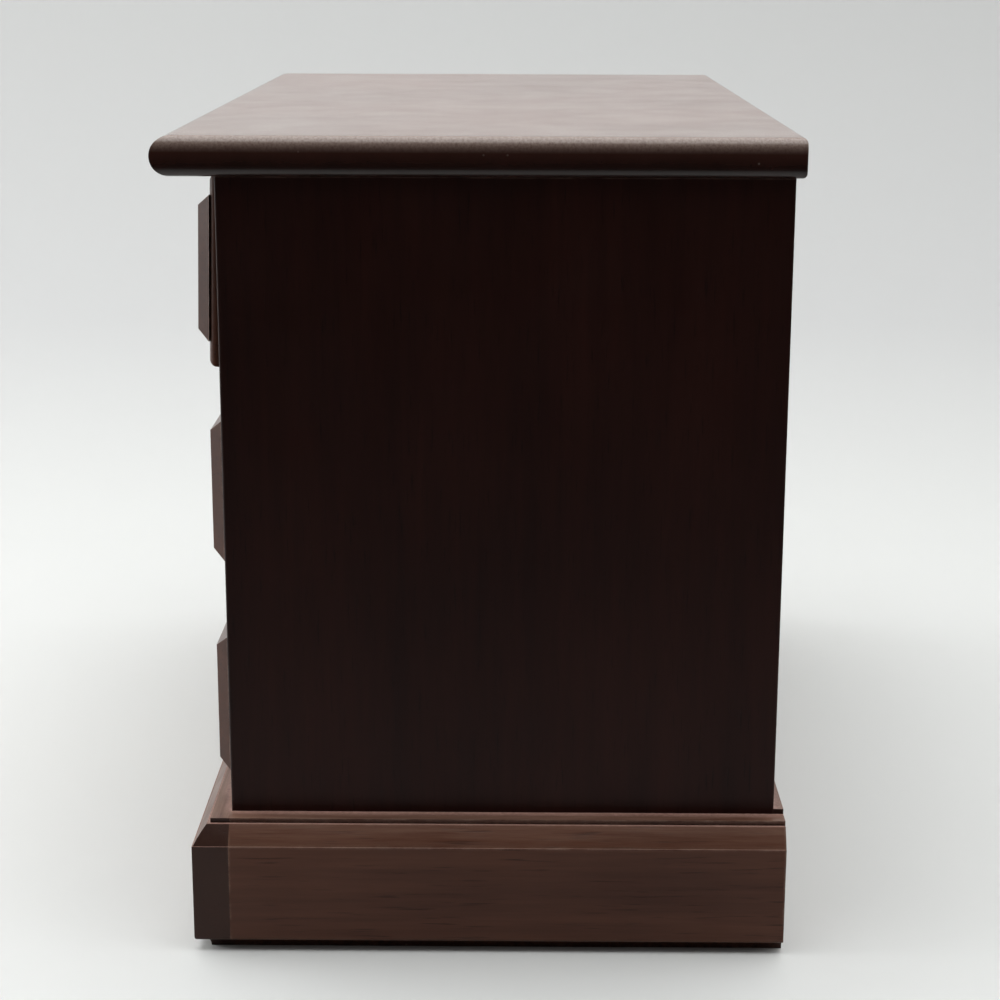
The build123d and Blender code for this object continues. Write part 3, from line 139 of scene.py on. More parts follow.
sweep_flat = 0.24
sweep_radius = 0.42
sweep_height = 1.6
sweep_half_width = 2.4
sweep_front = 2.4
sweep_steps = 24
sweep_mesh = bpy.data.meshes.new("paper_sweep")
outline = [(sweep_front, 0.0), (-sweep_flat, 0.0)]
for step in range(1, sweep_steps + 1):
    turn = pi / 2 * step / sweep_steps
    outline.append((-sweep_flat - sweep_radius * sin(turn), sweep_radius * (1 - cos(turn))))
outline.append((-sweep_flat - sweep_radius, sweep_height))
sheet_points = [(x, side * sweep_half_width, z) for x, z in outline for side in (-1, 1)]
sheet_faces = [(2 * i, 2 * i + 2, 2 * i + 3, 2 * i + 1) for i in range(len(outline) - 1)]
sweep_mesh.from_pydata(sheet_points, [], sheet_faces)
sweep_mesh.shade_smooth()
paper_sweep = bpy.data.objects.new("paper_sweep", sweep_mesh)
scene.collection.objects.link(paper_sweep)

paper_table = (0.665, 0.68, 0.67, 1)
paper_low = (0.58, 0.59, 0.59, 1)
paper_high = (0.58, 0.59, 0.585, 1)
paper_above = (0.92, 0.90, 0.88, 1)
paper_low_height = 0.06
paper_high_height = 0.22
paper_above_height = 0.3
fall_back = -0.25
fall_front = 0.5
lens_painted_shade_back = (0.8, 0.8, 0.8, 1)
lens_painted_shade_front = (0.86, 0.86, 0.86, 1)
lens_painted_light_peak = 0.45
painted_reflection_edge = 0.57
white = (1, 1, 1, 1)
black = (0, 0, 0, 1)
painted_dark_reflection = (0.05, 0.045, 0.045, 1)
room_tone_and_painted_glow = (0.72, 0.735, 0.74, 1)
fade_start = 0.7
fade_end = 1.9
paper = bpy.data.materials.new("pale_paper")
paper.use_nodes = True
paper_tree = paper.node_tree
paper_shader = paper_tree.nodes["Principled BSDF"]
paper_shader.inputs["Roughness"].default_value = 0.85
paper_place = paper_tree.nodes.new("ShaderNodeTexCoord")
paper_axes = paper_tree.nodes.new("ShaderNodeSeparateXYZ")
paper_tree.links.new(paper_place.outputs["Object"], paper_axes.inputs[0])
# Painted light and shade by height: darker low on the sweep and lighter higher up, over a lighter table.
paper_colour_and_painted_light = colour_ramp(
    paper_tree, paper_axes.outputs["Z"],
    (0, paper_table), (paper_low_height, paper_low),
    (paper_high_height, paper_high), (paper_above_height, paper_above),
)
paper_fall = spread(paper_tree, paper_axes.outputs["X"], fall_back, fall_front)
# Painted shade that only the lens sees: the paper is brightest just under the box and darker towards the
# sweep's back and towards the camera.
paper_lens_painted_shade = colour_ramp(paper_tree, paper_fall, (0, lens_painted_shade_back), (lens_painted_light_peak, white), (1, lens_painted_shade_front))
# Painted reflection: every ray but the lens's sees the paper turn dark past this edge, so the lacquer mirrors
# a dark strip and less light bounces from there.
paper_painted_reflection = colour_ramp(paper_tree, paper_fall, (painted_reflection_edge, white), (1, painted_dark_reflection))
paper_lens = paper_tree.nodes.new("ShaderNodeLightPath").outputs["Is Camera Ray"]
paper_shade = blend_colours(paper_tree, paper_lens, paper_painted_reflection, paper_lens_painted_shade)
paper_colour_and_painted_light = blend_colours(paper_tree, 1.0, paper_colour_and_painted_light, paper_shade, "MULTIPLY")
paper_sideways = arithmetic(paper_tree, "ABSOLUTE", paper_axes.outputs["Y"], 0)
paper_reach = arithmetic(paper_tree, "ABSOLUTE", paper_axes.outputs["X"], 0)
paper_reach = arithmetic(paper_tree, "MAXIMUM", paper_reach, paper_sideways)
# Painted glow: far from the box the paper glows in the room's tone for the lens alone, and its own colour
# fades to black.
paper_fade = spread(paper_tree, paper_reach, fade_start, fade_end)
paper_fade.node.interpolation_type = "SMOOTHSTEP"
paper_glow = arithmetic(paper_tree, "MULTIPLY", paper_fade, paper_lens)
paper_tree.links.new(paper_glow, paper_shader.inputs["Emission Strength"])
paper_shader.inputs["Emission Color"].default_value = room_tone_and_painted_glow
paper_colour_and_painted_light = blend_colours(paper_tree, paper_glow, paper_colour_and_painted_light, black)
paper_tree.links.new(paper_colour_and_painted_light, paper_shader.inputs["Base Color"])
paper_sweep.data.materials.append(paper)

# Studio light: three large soft boxes, one overhead, one before the drawers and one behind the back panel,
# with a pale room beyond the paper sweep and a dim one behind the camera.
soft_boxes = (
    ("overhead", (-0.12, -0.05, 1.25), (0, 0, 0), 1.5, 20.0),
    ("front_left", (-0.1, -1.3, 0.6), (radians(80), 0, 0), 1.0, 13.0),
    ("rear_right", (-0.1, 1.5, 0.9), (radians(-70), 0, 0), 1.7, 12.0),
)
for name, place, turn, size, power in soft_boxes:
    light_data = bpy.data.lights.new(name, "AREA")
    light_data.shape = "SQUARE"
    light_data.size = size
    light_data.energy = power
    light = bpy.data.objects.new(name, light_data)
    light.location = place
    light.rotation_euler = turn
    scene.collection.objects.link(light)
pale_side = -0.5
dim_side = 0.9
room_pale = (0.66, 0.66, 0.66, 1)
room_dim = (0.02, 0.014, 0.012, 1)
room = bpy.data.worlds.new("room")
scene.world = room
room.use_nodes = True
room_tree = room.node_tree
room_place = room_tree.nodes.new("ShaderNodeTexCoord")
room_axes = room_tree.nodes.new("ShaderNodeSeparateXYZ")
room_tree.links.new(room_place.outputs["Generated"], room_axes.inputs[0])
room_depth = spread(room_tree, room_axes.outputs["X"], pale_side, dim_side)
room_light = colour_ramp(room_tree, room_depth, (0, room_pale), (1, room_dim))
room_lens = room_tree.nodes.new("ShaderNodeLightPath").outputs["Is Camera Ray"]
room_colour = blend_colours(room_tree, room_lens, room_light, room_tone_and_painted_glow)
room_tree.links.new(room_colour, room_tree.nodes["Background"].inputs["Color"])

# Carcass boards: the side panels and the back, of close-grained hardwood with the grain upright,
# stained very dark brown, sprayed with satin lacquer and rubbed a little on the arrises.


def new_group(name, inputs, outputs):
    """Empty shader group with named sockets, with the nodes where it starts and ends."""
    tree = bpy.data.node_groups.new(name, "ShaderNodeTree")
    for label, kind, value in inputs:
        socket = tree.interface.new_socket(label, in_out="INPUT", socket_type=kind)
        if value is not None:
            socket.default_value = value
    for label, kind in outputs:
        tree.interface.new_socket(label, in_out="OUTPUT", socket_type=kind)
    entry = tree.nodes.new("NodeGroupInput")
    leave = tree.nodes.new("NodeGroupOutput")
    return tree, entry, leave


def noise(tree, vector, scale, detail=3.0, roughness=0.55, distortion=0.0):
    """Noise texture reading a vector socket."""
    texture = tree.nodes.new("ShaderNodeTexNoise")
    texture.inputs["Scale"].default_value = scale
    texture.inputs["Detail"].default_value = detail
    texture.inputs["Roughness"].default_value = roughness
    texture.inputs["Distortion"].default_value = distortion
    tree.links.new(vector, texture.inputs["Vector"])
    return texture.outputs["Fac"]


figure_scale = 55
streak_scale = 420
pore_scale = 1500
cloud_scale = 16
haze_scale = 45
figure_share = 0.45
streak_share = 0.3
cloud_share = 0.3
pore_depth = 0.55
streak_relief = 0.25
grain_group, grain_in, grain_out = new_group(
    "wood_grain",
    (
        ("Vector", "NodeSocketVector", None),
        ("Place", "NodeSocketVector", None),
        ("Dark", "NodeSocketColor", (0.01, 0.005, 0.004, 1)),
        ("Light", "NodeSocketColor", (0.03, 0.014, 0.01, 1)),
        ("Pore", "NodeSocketColor", (0.004, 0.002, 0.002, 1)),
    ),
    (("Color", "NodeSocketColor"), ("Gloss", "NodeSocketFloat"), ("Height", "NodeSocketFloat")),
)
grain_vector = grain_in.outputs["Vector"]
grain_place = grain_in.outputs["Place"]
figure = spread(grain_group, noise(grain_group, grain_vector, figure_scale, 4, 0.6, 0.6), 0.3, 0.72)
streaks = spread(grain_group, noise(grain_group, grain_vector, streak_scale, 5, 0.65), 0.32, 0.7)
pores = spread(grain_group, noise(grain_group, grain_vector, pore_scale, 2, 0.5), 0.62, 0.74)
cloud = spread(grain_group, noise(grain_group, grain_place, cloud_scale, 3, 0.5), 0.3, 0.7)
haze = spread(grain_group, noise(grain_group, grain_place, haze_scale, 5, 0.6), 0.35, 0.7)
tone = arithmetic(grain_group, "MULTIPLY", figure, figure_share)
tone = arithmetic(grain_group, "ADD", tone, arithmetic(grain_group, "MULTIPLY", streaks, streak_share))
tone = arithmetic(grain_group, "ADD", tone, arithmetic(grain_group, "MULTIPLY", cloud, cloud_share))
wood_colour = blend_colours(grain_group, tone, grain_in.outputs["Dark"], grain_in.outputs["Light"])
open_pores = arithmetic(grain_group, "MULTIPLY", pores, pore_depth)
wood_colour = blend_colours(grain_group, open_pores, wood_colour, grain_in.outputs["Pore"])
ridges = arithmetic(grain_group, "MULTIPLY", streaks, streak_relief)
wood_height = arithmetic(grain_group, "SUBTRACT", ridges, pores)
grain_group.links.new(wood_colour, grain_out.inputs["Color"])
grain_group.links.new(haze, grain_out.inputs["Gloss"])
grain_group.links.new(wood_height, grain_out.inputs["Height"])

arris_width = 0.0006
rub_scale = 190
speck_scale = 330
ragged_scale = 900
corner_reach = 0.0035
wear_group, wear_in, wear_out = new_group(
    "rubbed_edges",
    (("Place", "NodeSocketVector", None), ("Reach", "NodeSocketFloat", arris_width)),
    (("Wear", "NodeSocketFloat"), ("Dust", "NodeSocketFloat"), ("Corner", "NodeSocketFloat")),
)
rounded = wear_group.nodes.new("ShaderNodeBevel")
rounded.samples = 4
wear_group.links.new(wear_in.outputs["Reach"], rounded.inputs["Radius"])
surface = wear_group.nodes.new("ShaderNodeNewGeometry")
facing = wear_group.nodes.new("ShaderNodeVectorMath")
facing.operation = "DOT_PRODUCT"
wear_group.links.new(rounded.outputs["Normal"], facing.inputs[0])
wear_group.links.new(surface.outputs["True Normal"], facing.inputs[1])
wear_place = wear_in.outputs["Place"]
arris = spread(wear_group, facing.outputs["Value"], 0.99, 0.86)
patches = spread(wear_group, noise(wear_group, wear_place, rub_scale, 5, 0.7), 0.38, 0.66)
wear_group.links.new(arithmetic(wear_group, "MULTIPLY", arris, patches), wear_out.inputs["Wear"])
specks = wear_group.nodes.new("ShaderNodeTexVoronoi")
specks.inputs["Scale"].default_value = speck_scale
wear_group.links.new(wear_place, specks.inputs["Vector"])
chosen = wear_group.nodes.new("ShaderNodeSeparateColor")
wear_group.links.new(specks.outputs["Color"], chosen.inputs[0])
kept = spread(wear_group, chosen.outputs[0], 0.955, 0.96)
dot = spread(wear_group, specks.outputs["Distance"], 0.1, 0.05)
wear_group.links.new(arithmetic(wear_group, "MULTIPLY", kept, dot), wear_out.inputs["Dust"])
corner = wear_group.nodes.new("ShaderNodeAmbientOcclusion")
corner.samples = 8
corner.inputs["Distance"].default_value = corner_reach
ragged_corner = spread(wear_group, noise(wear_group, wear_place, ragged_scale, 4, 0.7), 0.3, 0.65, 0.3, 1)
corner_depth = spread(wear_group, corner.outputs["AO"], 0.95, 0.6)
corner_depth = arithmetic(wear_group, "MULTIPLY", corner_depth, ragged_corner)
wear_group.links.new(corner_depth, wear_out.inputs["Corner"])

rubbed_tone = (0.24, 0.16, 0.125, 1)
dust_tone = (0.42, 0.36, 0.32, 1)
pore_bump_depth = 0.0003


def stained_wood(
    name, stretch, dark, light, pore, gloss=(0.24, 0.4), wear=0.7, dust=0.5, bump=0.12, specular=0.5
):
    """Stained and lacquered wood whose grain runs along the axis that stretch leaves long."""
    material = bpy.data.materials.new(name)
    material.use_nodes = True
    tree = material.node_tree
    shader = tree.nodes["Principled BSDF"]
    shader.inputs["Specular IOR Level"].default_value = specular
    place = tree.nodes.new("ShaderNodeTexCoord")
    mapping = tree.nodes.new("ShaderNodeMapping")
    mapping.name = "along_grain"
    mapping.inputs["Scale"].default_value = stretch
    tree.links.new(place.outputs["Object"], mapping.inputs["Vector"])
    grain = tree.nodes.new("ShaderNodeGroup")
    grain.node_tree = grain_group
    tree.links.new(mapping.outputs["Vector"], grain.inputs["Vector"])
    tree.links.new(place.outputs["Object"], grain.inputs["Place"])
    grain.inputs["Dark"].default_value = dark
    grain.inputs["Light"].default_value = light
    grain.inputs["Pore"].default_value = pore
    edges = tree.nodes.new("ShaderNodeGroup")
    edges.name = "rubbed_edges"
    edges.node_tree = wear_group
    tree.links.new(place.outputs["Object"], edges.inputs["Place"])
    worn = arithmetic(tree, "MULTIPLY", edges.outputs["Wear"], wear)
    colour = blend_colours(tree, worn, grain.outputs["Color"], rubbed_tone)
    dusty = arithmetic(tree, "MULTIPLY", edges.outputs["Dust"], dust)
    colour = blend_colours(tree, dusty, colour, dust_tone)
    tree.links.new(colour, shader.inputs["Base Color"])
    tree.links.new(spread(tree, grain.outputs["Gloss"], 0, 1, *gloss), shader.inputs["Roughness"])
    relief = tree.nodes.new("ShaderNodeBump")
    relief.inputs["Strength"].default_value = bump
    relief.inputs["Distance"].default_value = pore_bump_depth
    tree.links.new(grain.outputs["Height"], relief.inputs["Height"])
    tree.links.new(relief.outputs["Normal"], shader.inputs["Normal"])
    return material


def dress(material, *names):
    """Give CAD nodes a material of their own."""
    for name in names:
        mesh = nodes[name].data
        mesh.materials.clear()
        mesh.materials.append(material)


def facing_axis(tree, axis):
    """How squarely a surface faces along one axis, from -1 to 1."""
    geometry = tree.nodes.new("ShaderNodeNewGeometry")
    axes = tree.nodes.new("ShaderNodeSeparateXYZ")
    tree.links.new(geometry.outputs["Normal"], axes.inputs[0])
    return axes.outputs[axis]


def tint(material, mask, tone):
    """Lays one more tone over the colour of a material where the mask is 1."""
    tree = material.node_tree
    shader = tree.nodes["Principled BSDF"]
    before = shader.inputs["Base Color"].links[0].from_socket
    tree.links.new(blend_colours(tree, mask, before, tone), shader.inputs["Base Color"])


upright = (1, 1, 0.07)
carcass_wood = stained_wood(
    "dark_upright_wood", upright, (0.009, 0.002, 0.0015, 1), (0.027, 0.0065, 0.0042, 1),
    (0.003, 0.001, 0.0008, 1), gloss=(0.42, 0.48), wear=0.55, dust=0.35, specular=0.15,
)
dress(carcass_wood, "side_panel_left", "side_panel_right", "back_panel")

# Plinth boards: the same wood stained a shade redder, the grain running along each board, rubbed harder
# on the moulding than the case above it, and with painted light in patches on the faces that look up.
# The front board shows dark end grain where it laps the sides, and pale dust lies along the ledge at the
# foot of the case. Painted shade darkens the corners of the faces that do not look up.
plinth_tones = ((0.038, 0.013, 0.008, 1), (0.115, 0.046, 0.027, 1), (0.012, 0.004, 0.003, 1))
plinth_arris_width = 0.001
plinth_light_patch_scale = 700
upward_painted_light_tone = (0.22, 0.13, 0.095, 1)
upward_painted_light_share = 0.8
end_grain_tone = (0.026, 0.012, 0.009, 1)
end_grain_share = 0.85
corner_dust = (0.42, 0.25, 0.21, 1)
corner_shade = (0.012, 0.004, 0.003, 1)
along_depth = (1, 0.045, 1)
along_width = (0.045, 1, 1)
plinth_side_wood = stained_wood(
    "plinth_wood_along_depth", along_depth, *plinth_tones, gloss=(0.3, 0.42), wear=1, dust=0.6, bump=0.2,
    specular=0.17,
)
plinth_front_wood = stained_wood(
    "plinth_wood_along_width", along_width, *plinth_tones, gloss=(0.3, 0.42), wear=1, dust=0.6, bump=0.2,
    specular=0.17,
)
for wood in (plinth_side_wood, plinth_front_wood):
    tree = wood.node_tree
    upward = facing_axis(tree, "Z")
    edges = tree.nodes["rubbed_edges"]
    edges.inputs["Reach"].default_value = plinth_arris_width
    corner = edges.outputs["Corner"]
    # Painted light: faces that look up are tinted lighter, broken into patches by this noise.
    light_patch_noise = noise(tree, tree.nodes["along_grain"].outputs["Vector"], plinth_light_patch_scale, 5, 0.75)
    upward_painted_light = spread(tree, light_patch_noise, 0.3, 0.65)
    upward_painted_light = arithmetic(tree, "MULTIPLY", spread(tree, upward, 0.3, 0.95), upward_painted_light)
    tint(wood, arithmetic(tree, "MULTIPLY", upward_painted_light, upward_painted_light_share), upward_painted_light_tone)
    if wood is plinth_front_wood:
        endwise = spread(tree, arithmetic(tree, "ABSOLUTE", facing_axis(tree, "X"), 0), 0.12, 0.3)
        tint(wood, arithmetic(tree, "MULTIPLY", endwise, end_grain_share), end_grain_tone)
    level = spread(tree, upward, 0.97, 0.99)
    tint(wood, arithmetic(tree, "MULTIPLY", corner, level), corner_dust)
    # Painted shade: corners found by the occlusion mask are darkened on faces that do not look up.
    sunk = spread(tree, upward, 0.5, 0.1)
    tint(wood, arithmetic(tree, "MULTIPLY", corner, sunk), corner_shade)
dress(plinth_side_wood, "plinth_left", "plinth_right")
dress(plinth_front_wood, "plinth_front", "plinth_back")

# Lid: one board with the grain along the front, its lacquer thicker and smoother than the case's.
# Its top face carries a painted sheen, a lighter red-brown in soft mottled patches. Its rounded edge is
# redder than the board's foot, and its upper part is tinted pale grey-brown in a fine mottle, most of all
# on the ends.
lid_ruddy_tone = (0.055, 0.02, 0.014, 1)
lid_pale_edge_tone = (0.26, 0.2, 0.17, 1)
lid_top_painted_sheen_tone = (0.095, 0.028, 0.014, 1)
lid_pale_mottle_scale = 1500
lid_sheen_mottle_scale = 14
lid_wood = stained_wood(
    "lid_wood", along_width, (0.008, 0.003, 0.002, 1), (0.025, 0.008, 0.006, 1), (0.005, 0.002, 0.0015, 1),
    gloss=(0.2, 0.25), wear=0.25, dust=0.3, bump=0.04, specular=0.4,
)
lid_tree = lid_wood.node_tree
lid_place = lid_tree.nodes["Texture Coordinate"].outputs["Object"]
lid_axes = lid_tree.nodes.new("ShaderNodeSeparateXYZ")
lid_tree.links.new(lid_place, lid_axes.inputs[0])
lid_low, lid_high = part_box("lid_board")
lid_height = spread(lid_tree, lid_axes.outputs["Z"], lid_low.z, lid_high.z)
lid_upward = facing_axis(lid_tree, "Z")
lid_endwise = arithmetic(lid_tree, "ABSOLUTE", facing_axis(lid_tree, "X"), 0)
ruddy = spread(lid_tree, lid_height, 0.3, 0.85)
ruddy = arithmetic(lid_tree, "MULTIPLY", ruddy, spread(lid_tree, lid_upward, 0.9, 0.99, 1, 0))
tint(lid_wood, ruddy, lid_ruddy_tone)
# The upper part of the rounded edge, where it does not look up, is tinted pale grey-brown in a fine mottle,
# most of all on the ends.
rolled = spread(lid_tree, lid_height, 0.6, 0.9)
rolled = arithmetic(lid_tree, "MULTIPLY", rolled, spread(lid_tree, lid_upward, 0.995, 1, 1, 0))
rolled = arithmetic(lid_tree, "MULTIPLY", rolled, spread(lid_tree, lid_endwise, 0, 0.25, 0.3, 1))
pale_edge_mottle = spread(lid_tree, noise(lid_tree, lid_place, lid_pale_mottle_scale, 4, 0.75), 0.2, 0.6, 0.25, 0.95)
tint(lid_wood, arithmetic(lid_tree, "MULTIPLY", rolled, pale_edge_mottle), lid_pale_edge_tone)
# Painted sheen: the face that looks up is tinted a lighter red-brown in soft mottled patches.
top_sheen_mottle = spread(lid_tree, noise(lid_tree, lid_place, lid_sheen_mottle_scale, 3, 0.5), 0.3, 0.7, 0.6, 0.95)
level = arithmetic(lid_tree, "MULTIPLY", spread(lid_tree, lid_upward, 0.99, 1), top_sheen_mottle)
tint(lid_wood, level, lid_top_painted_sheen_tone)
dress(lid_wood, "lid_board")

# Drawer fronts and the leaning false front, each with its raised block, with the grain along the front.
front_wood = stained_wood(
    "front_wood", along_width, (0.032, 0.0095, 0.005, 1), (0.078, 0.026, 0.0135, 1),
    (0.011, 0.004, 0.0025, 1), gloss=(0.3, 0.36), wear=0.7, dust=0.4, bump=0.1, specular=0.3,
)
dress(
    front_wood,
    "false_front", "false_front_block", "lower_drawer_front", "lower_drawer_block",
    "upper_drawer_front", "upper_drawer_block",
)

# Shelves and drawer boxes: plain light hardwood, sanded and left bare inside. Only the front edges
# of the shelves, which show between the drawers, are stained like the case.
stain_depth = 0.004
stain_fade = 0.003
stain_ragged_scale = 300
stain_tone = (0.03, 0.0095, 0.0055, 1)
bare_tones = ((0.36, 0.225, 0.125, 1), (0.52, 0.36, 0.22, 1), (0.22, 0.12, 0.06, 1))
sanded_gloss = (0.5, 0.68)
bare_across = stained_wood(
    "bare_wood_along_width", along_width, *bare_tones, gloss=sanded_gloss, wear=0, dust=0.1
)
bare_deep = stained_wood(
    "bare_wood_along_depth", along_depth, *bare_tones, gloss=sanded_gloss, wear=0, dust=0.1
)
dress(
    bare_across,
    "lower_drawer_bottom", "upper_drawer_bottom", "lower_drawer_back", "upper_drawer_back",
)
dress(bare_deep, "lower_drawer_sides", "upper_drawer_sides")
shelf_wood = bare_across.copy()
shelf_wood.name = "shelf_wood"
shelf_tree = shelf_wood.node_tree
shelf_place = shelf_tree.nodes["Texture Coordinate"].outputs["Object"]
shelf_axes = shelf_tree.nodes.new("ShaderNodeSeparateXYZ")
shelf_tree.links.new(shelf_place, shelf_axes.inputs[0])
stain_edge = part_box("drawer_divider")[0].y + stain_depth
ragged = noise(shelf_tree, shelf_place, stain_ragged_scale, 3, 0.6)
ragged = spread(shelf_tree, ragged, 0.3, 0.7, -0.5 * stain_fade, 0.5 * stain_fade)
stained = arithmetic(shelf_tree, "ADD", shelf_axes.outputs["Y"], ragged)
stained = spread(shelf_tree, stained, stain_edge, stain_edge + stain_fade, 1, 0)
tint(shelf_wood, stained, stain_tone)
dress(shelf_wood, "case_bottom", "drawer_divider", "compartment_floor")

# Hinges: butt hinges of rolled brass sheet with turned pins and screws, lightly browned by a film of tarnish
# that gathers in their hollows. The same film, with other amounts, is on all the metal that follows.
film_scale = 140
hollow_reach = 0.003
tool_mark_scale = 2600
tool_mark_depth = 0.0001
tarnish_group, tarnish_in, tarnish_out = new_group(
    "tarnish",
    (
        ("Place", "NodeSocketVector", None),
        ("Clean", "NodeSocketColor", (0.75, 0.56, 0.27, 1)),
        ("Brown", "NodeSocketColor", (0.16, 0.09, 0.035, 1)),
        ("Amount", "NodeSocketFloat", 0.4),
    ),
    (("Color", "NodeSocketColor"), ("Gloss", "NodeSocketFloat"), ("Height", "NodeSocketFloat")),
)
film = noise(tarnish_group, tarnish_in.outputs["Place"], film_scale, 5, 0.62)
film = spread(tarnish_group, film, 0.34, 0.7)
hollow = tarnish_group.nodes.new("ShaderNodeAmbientOcclusion")
hollow.samples = 4
hollow.inputs["Distance"].default_value = hollow_reach
crevice = spread(tarnish_group, hollow.outputs["AO"], 0.95, 0.45)
browned = arithmetic(tarnish_group, "MAXIMUM", film, crevice)
browned = arithmetic(tarnish_group, "MULTIPLY", browned, tarnish_in.outputs["Amount"])
brass_colour = blend_colours(tarnish_group, browned, tarnish_in.outputs["Clean"], tarnish_in.outputs["Brown"])
tarnish_group.links.new(brass_colour, tarnish_out.inputs["Color"])
tarnish_group.links.new(browned, tarnish_out.inputs["Gloss"])
fine_marks = noise(tarnish_group, tarnish_in.outputs["Place"], tool_mark_scale, 2, 0.5)
tarnish_group.links.new(fine_marks, tarnish_out.inputs["Height"])


def worked_metal(name, clean, brown, amount, gloss, bump=0.1, stretch=(1, 1, 1)):
    """Metal with a film of tarnish, darker in its hollows, and marks stretched along its tooling."""
    material = bpy.data.materials.new(name)
    material.use_nodes = True
    tree = material.node_tree
    shader = tree.nodes["Principled BSDF"]
    shader.inputs["Metallic"].default_value = 1
    place = tree.nodes.new("ShaderNodeTexCoord")
    mapping = tree.nodes.new("ShaderNodeMapping")
    mapping.inputs["Scale"].default_value = stretch
    tree.links.new(place.outputs["Object"], mapping.inputs["Vector"])
    film_node = tree.nodes.new("ShaderNodeGroup")
    film_node.node_tree = tarnish_group
    tree.links.new(mapping.outputs["Vector"], film_node.inputs["Place"])
    film_node.inputs["Clean"].default_value = clean
    film_node.inputs["Brown"].default_value = brown
    film_node.inputs["Amount"].default_value = amount
    tree.links.new(film_node.outputs["Color"], shader.inputs["Base Color"])
    tree.links.new(spread(tree, film_node.outputs["Gloss"], 0, 1, *gloss), shader.inputs["Roughness"])
    relief = tree.nodes.new("ShaderNodeBump")
    relief.inputs["Strength"].default_value = bump
    relief.inputs["Distance"].default_value = tool_mark_depth
    tree.links.new(film_node.outputs["Height"], relief.inputs["Height"])
    tree.links.new(relief.outputs["Normal"], shader.inputs["Normal"])
    return material


brown_film = (0.14, 0.075, 0.03, 1)
rolled_sheet = (0.2, 1, 1)
hinge_brass = worked_metal(
    "hinge_brass", (0.72, 0.52, 0.24, 1), brown_film, 0.35, (0.22, 0.45), 0.12, rolled_sheet
)
dress(
    hinge_brass,
    "hinge_case_leaves", "hinge_lid_leaves", "hinge_pins", "hinge_case_screws", "hinge_lid_screws",
)

# Mirror: silvered glass in a bevelled wooden frame, glued and pinned to the underside of the lid.
silvering = worked_metal(
    "silvered_glass", (0.86, 0.88, 0.88, 1), (0.5, 0.5, 0.5, 1), 0.04, (0.02, 0.05), bump=0
)
dress(silvering, "mirror")
frame_wood = stained_wood(
    "mirror_frame_wood", along_width, (0.04, 0.013, 0.008, 1), (0.085, 0.032, 0.019, 1),
    (0.02, 0.007, 0.004, 1), gloss=(0.24, 0.34), wear=0.3, dust=0.1, bump=0.05,
)
dress(frame_wood, "mirror_frame")

# Pulls: thin cast plates and bails of antiqued brass, one on each front, held by posts and nuts. They are
# browned in their hollows.
pull_brass = worked_metal(
    "antique_brass", (0.62, 0.43, 0.19, 1), (0.09, 0.05, 0.022, 1), 0.75, (0.26, 0.55), 0.2
)
for front in ("false", "lower", "upper"):
    dress(pull_brass, f"{front}_pull_plate", f"{front}_pull_posts", f"{front}_pull_bail")

# Partitions round the musical movement: thin boards of the stained case wood, rebated for the window.
partition_wood = stained_wood(
    "partition_wood", along_width, (0.03, 0.011, 0.008, 1), (0.07, 0.027, 0.018, 1),
    (0.012, 0.005, 0.004, 1), gloss=(0.34, 0.42), wear=0.5, dust=0.1,
)
dress(partition_wood, "compartment_partitions")

# Linings of the top compartment and the drawers: card panels covered in short-pile velvet and pressed
# in against the walls, over a thin floor pad of wadding under the same velvet.
panel_round = 0.00042
pad_cell = 0.004
pad_edge_softness = 0.004
pad_crown = 0.0009
pad_ripple = 0.12
ripple_across = 210
ripple_along = 170
ripple_bend = 95
ripple_start = 1.3
notch_margin = 0.01
card = 0.001
panel_gap = 0.0001
pad_gap = 0.2 * panel_gap
drawer_pad_height = 0.0015
smooth_angle = radians(50)
pile_scale = 2400
brushed_scale = 38
pile_share = 0.55
brushed_share = 0.5
nap_floor = -0.1
velvet_deep = (0.15, 0.009, 0.017, 1)
velvet_bright = (0.33, 0.03, 0.05, 1)
velvet = bpy.data.materials.new("short_pile_velvet")
velvet.use_nodes = True
velvet_tree = velvet.node_tree
velvet_shader = velvet_tree.nodes["Principled BSDF"]
velvet_shader.inputs["Roughness"].default_value = 0.85
velvet_shader.inputs["Specular IOR Level"].default_value = 0.2
velvet_shader.inputs["Sheen Weight"].default_value = 0.75
velvet_shader.inputs["Sheen Roughness"].default_value = 0.35
velvet_shader.inputs["Sheen Tint"].default_value = (1, 0.45, 0.5, 1)
velvet_place = velvet_tree.nodes.new("ShaderNodeTexCoord").outputs["Object"]
pile = noise(velvet_tree, velvet_place, pile_scale, 3, 0.7)
brushed = spread(velvet_tree, noise(velvet_tree, velvet_place, brushed_scale, 4, 0.55, 0.4), 0.35, 0.68)
nap = arithmetic(velvet_tree, "ADD", arithmetic(velvet_tree, "MULTIPLY", pile, pile_share), nap_floor)
nap = arithmetic(velvet_tree, "ADD", nap, arithmetic(velvet_tree, "MULTIPLY", brushed, brushed_share))
velvet_colour = blend_colours(velvet_tree, nap, velvet_deep, velvet_bright)
velvet_tree.links.new(velvet_colour, velvet_shader.inputs["Base Color"])
velvet_relief = velvet_tree.nodes.new("ShaderNodeBump")
velvet_relief.inputs["Strength"].default_value = 0.6
velvet_relief.inputs["Distance"].default_value = 0.0004
velvet_tree.links.new(pile, velvet_relief.inputs["Height"])
velvet_tree.links.new(velvet_relief.outputs["Normal"], velvet_shader.inputs["Normal"])


def add_block(low, high):
    """Cube stretched between two corners, its size applied, left selected."""
    middle = [(a + b) / 2 for a, b in zip(low, high)]
    bpy.ops.mesh.primitive_cube_add(size=1, location=middle)
    block = bpy.context.object
    block.scale = [b - a for a, b in zip(low, high)]
    bpy.ops.object.transform_apply(location=True, rotation=True, scale=True)
    return block


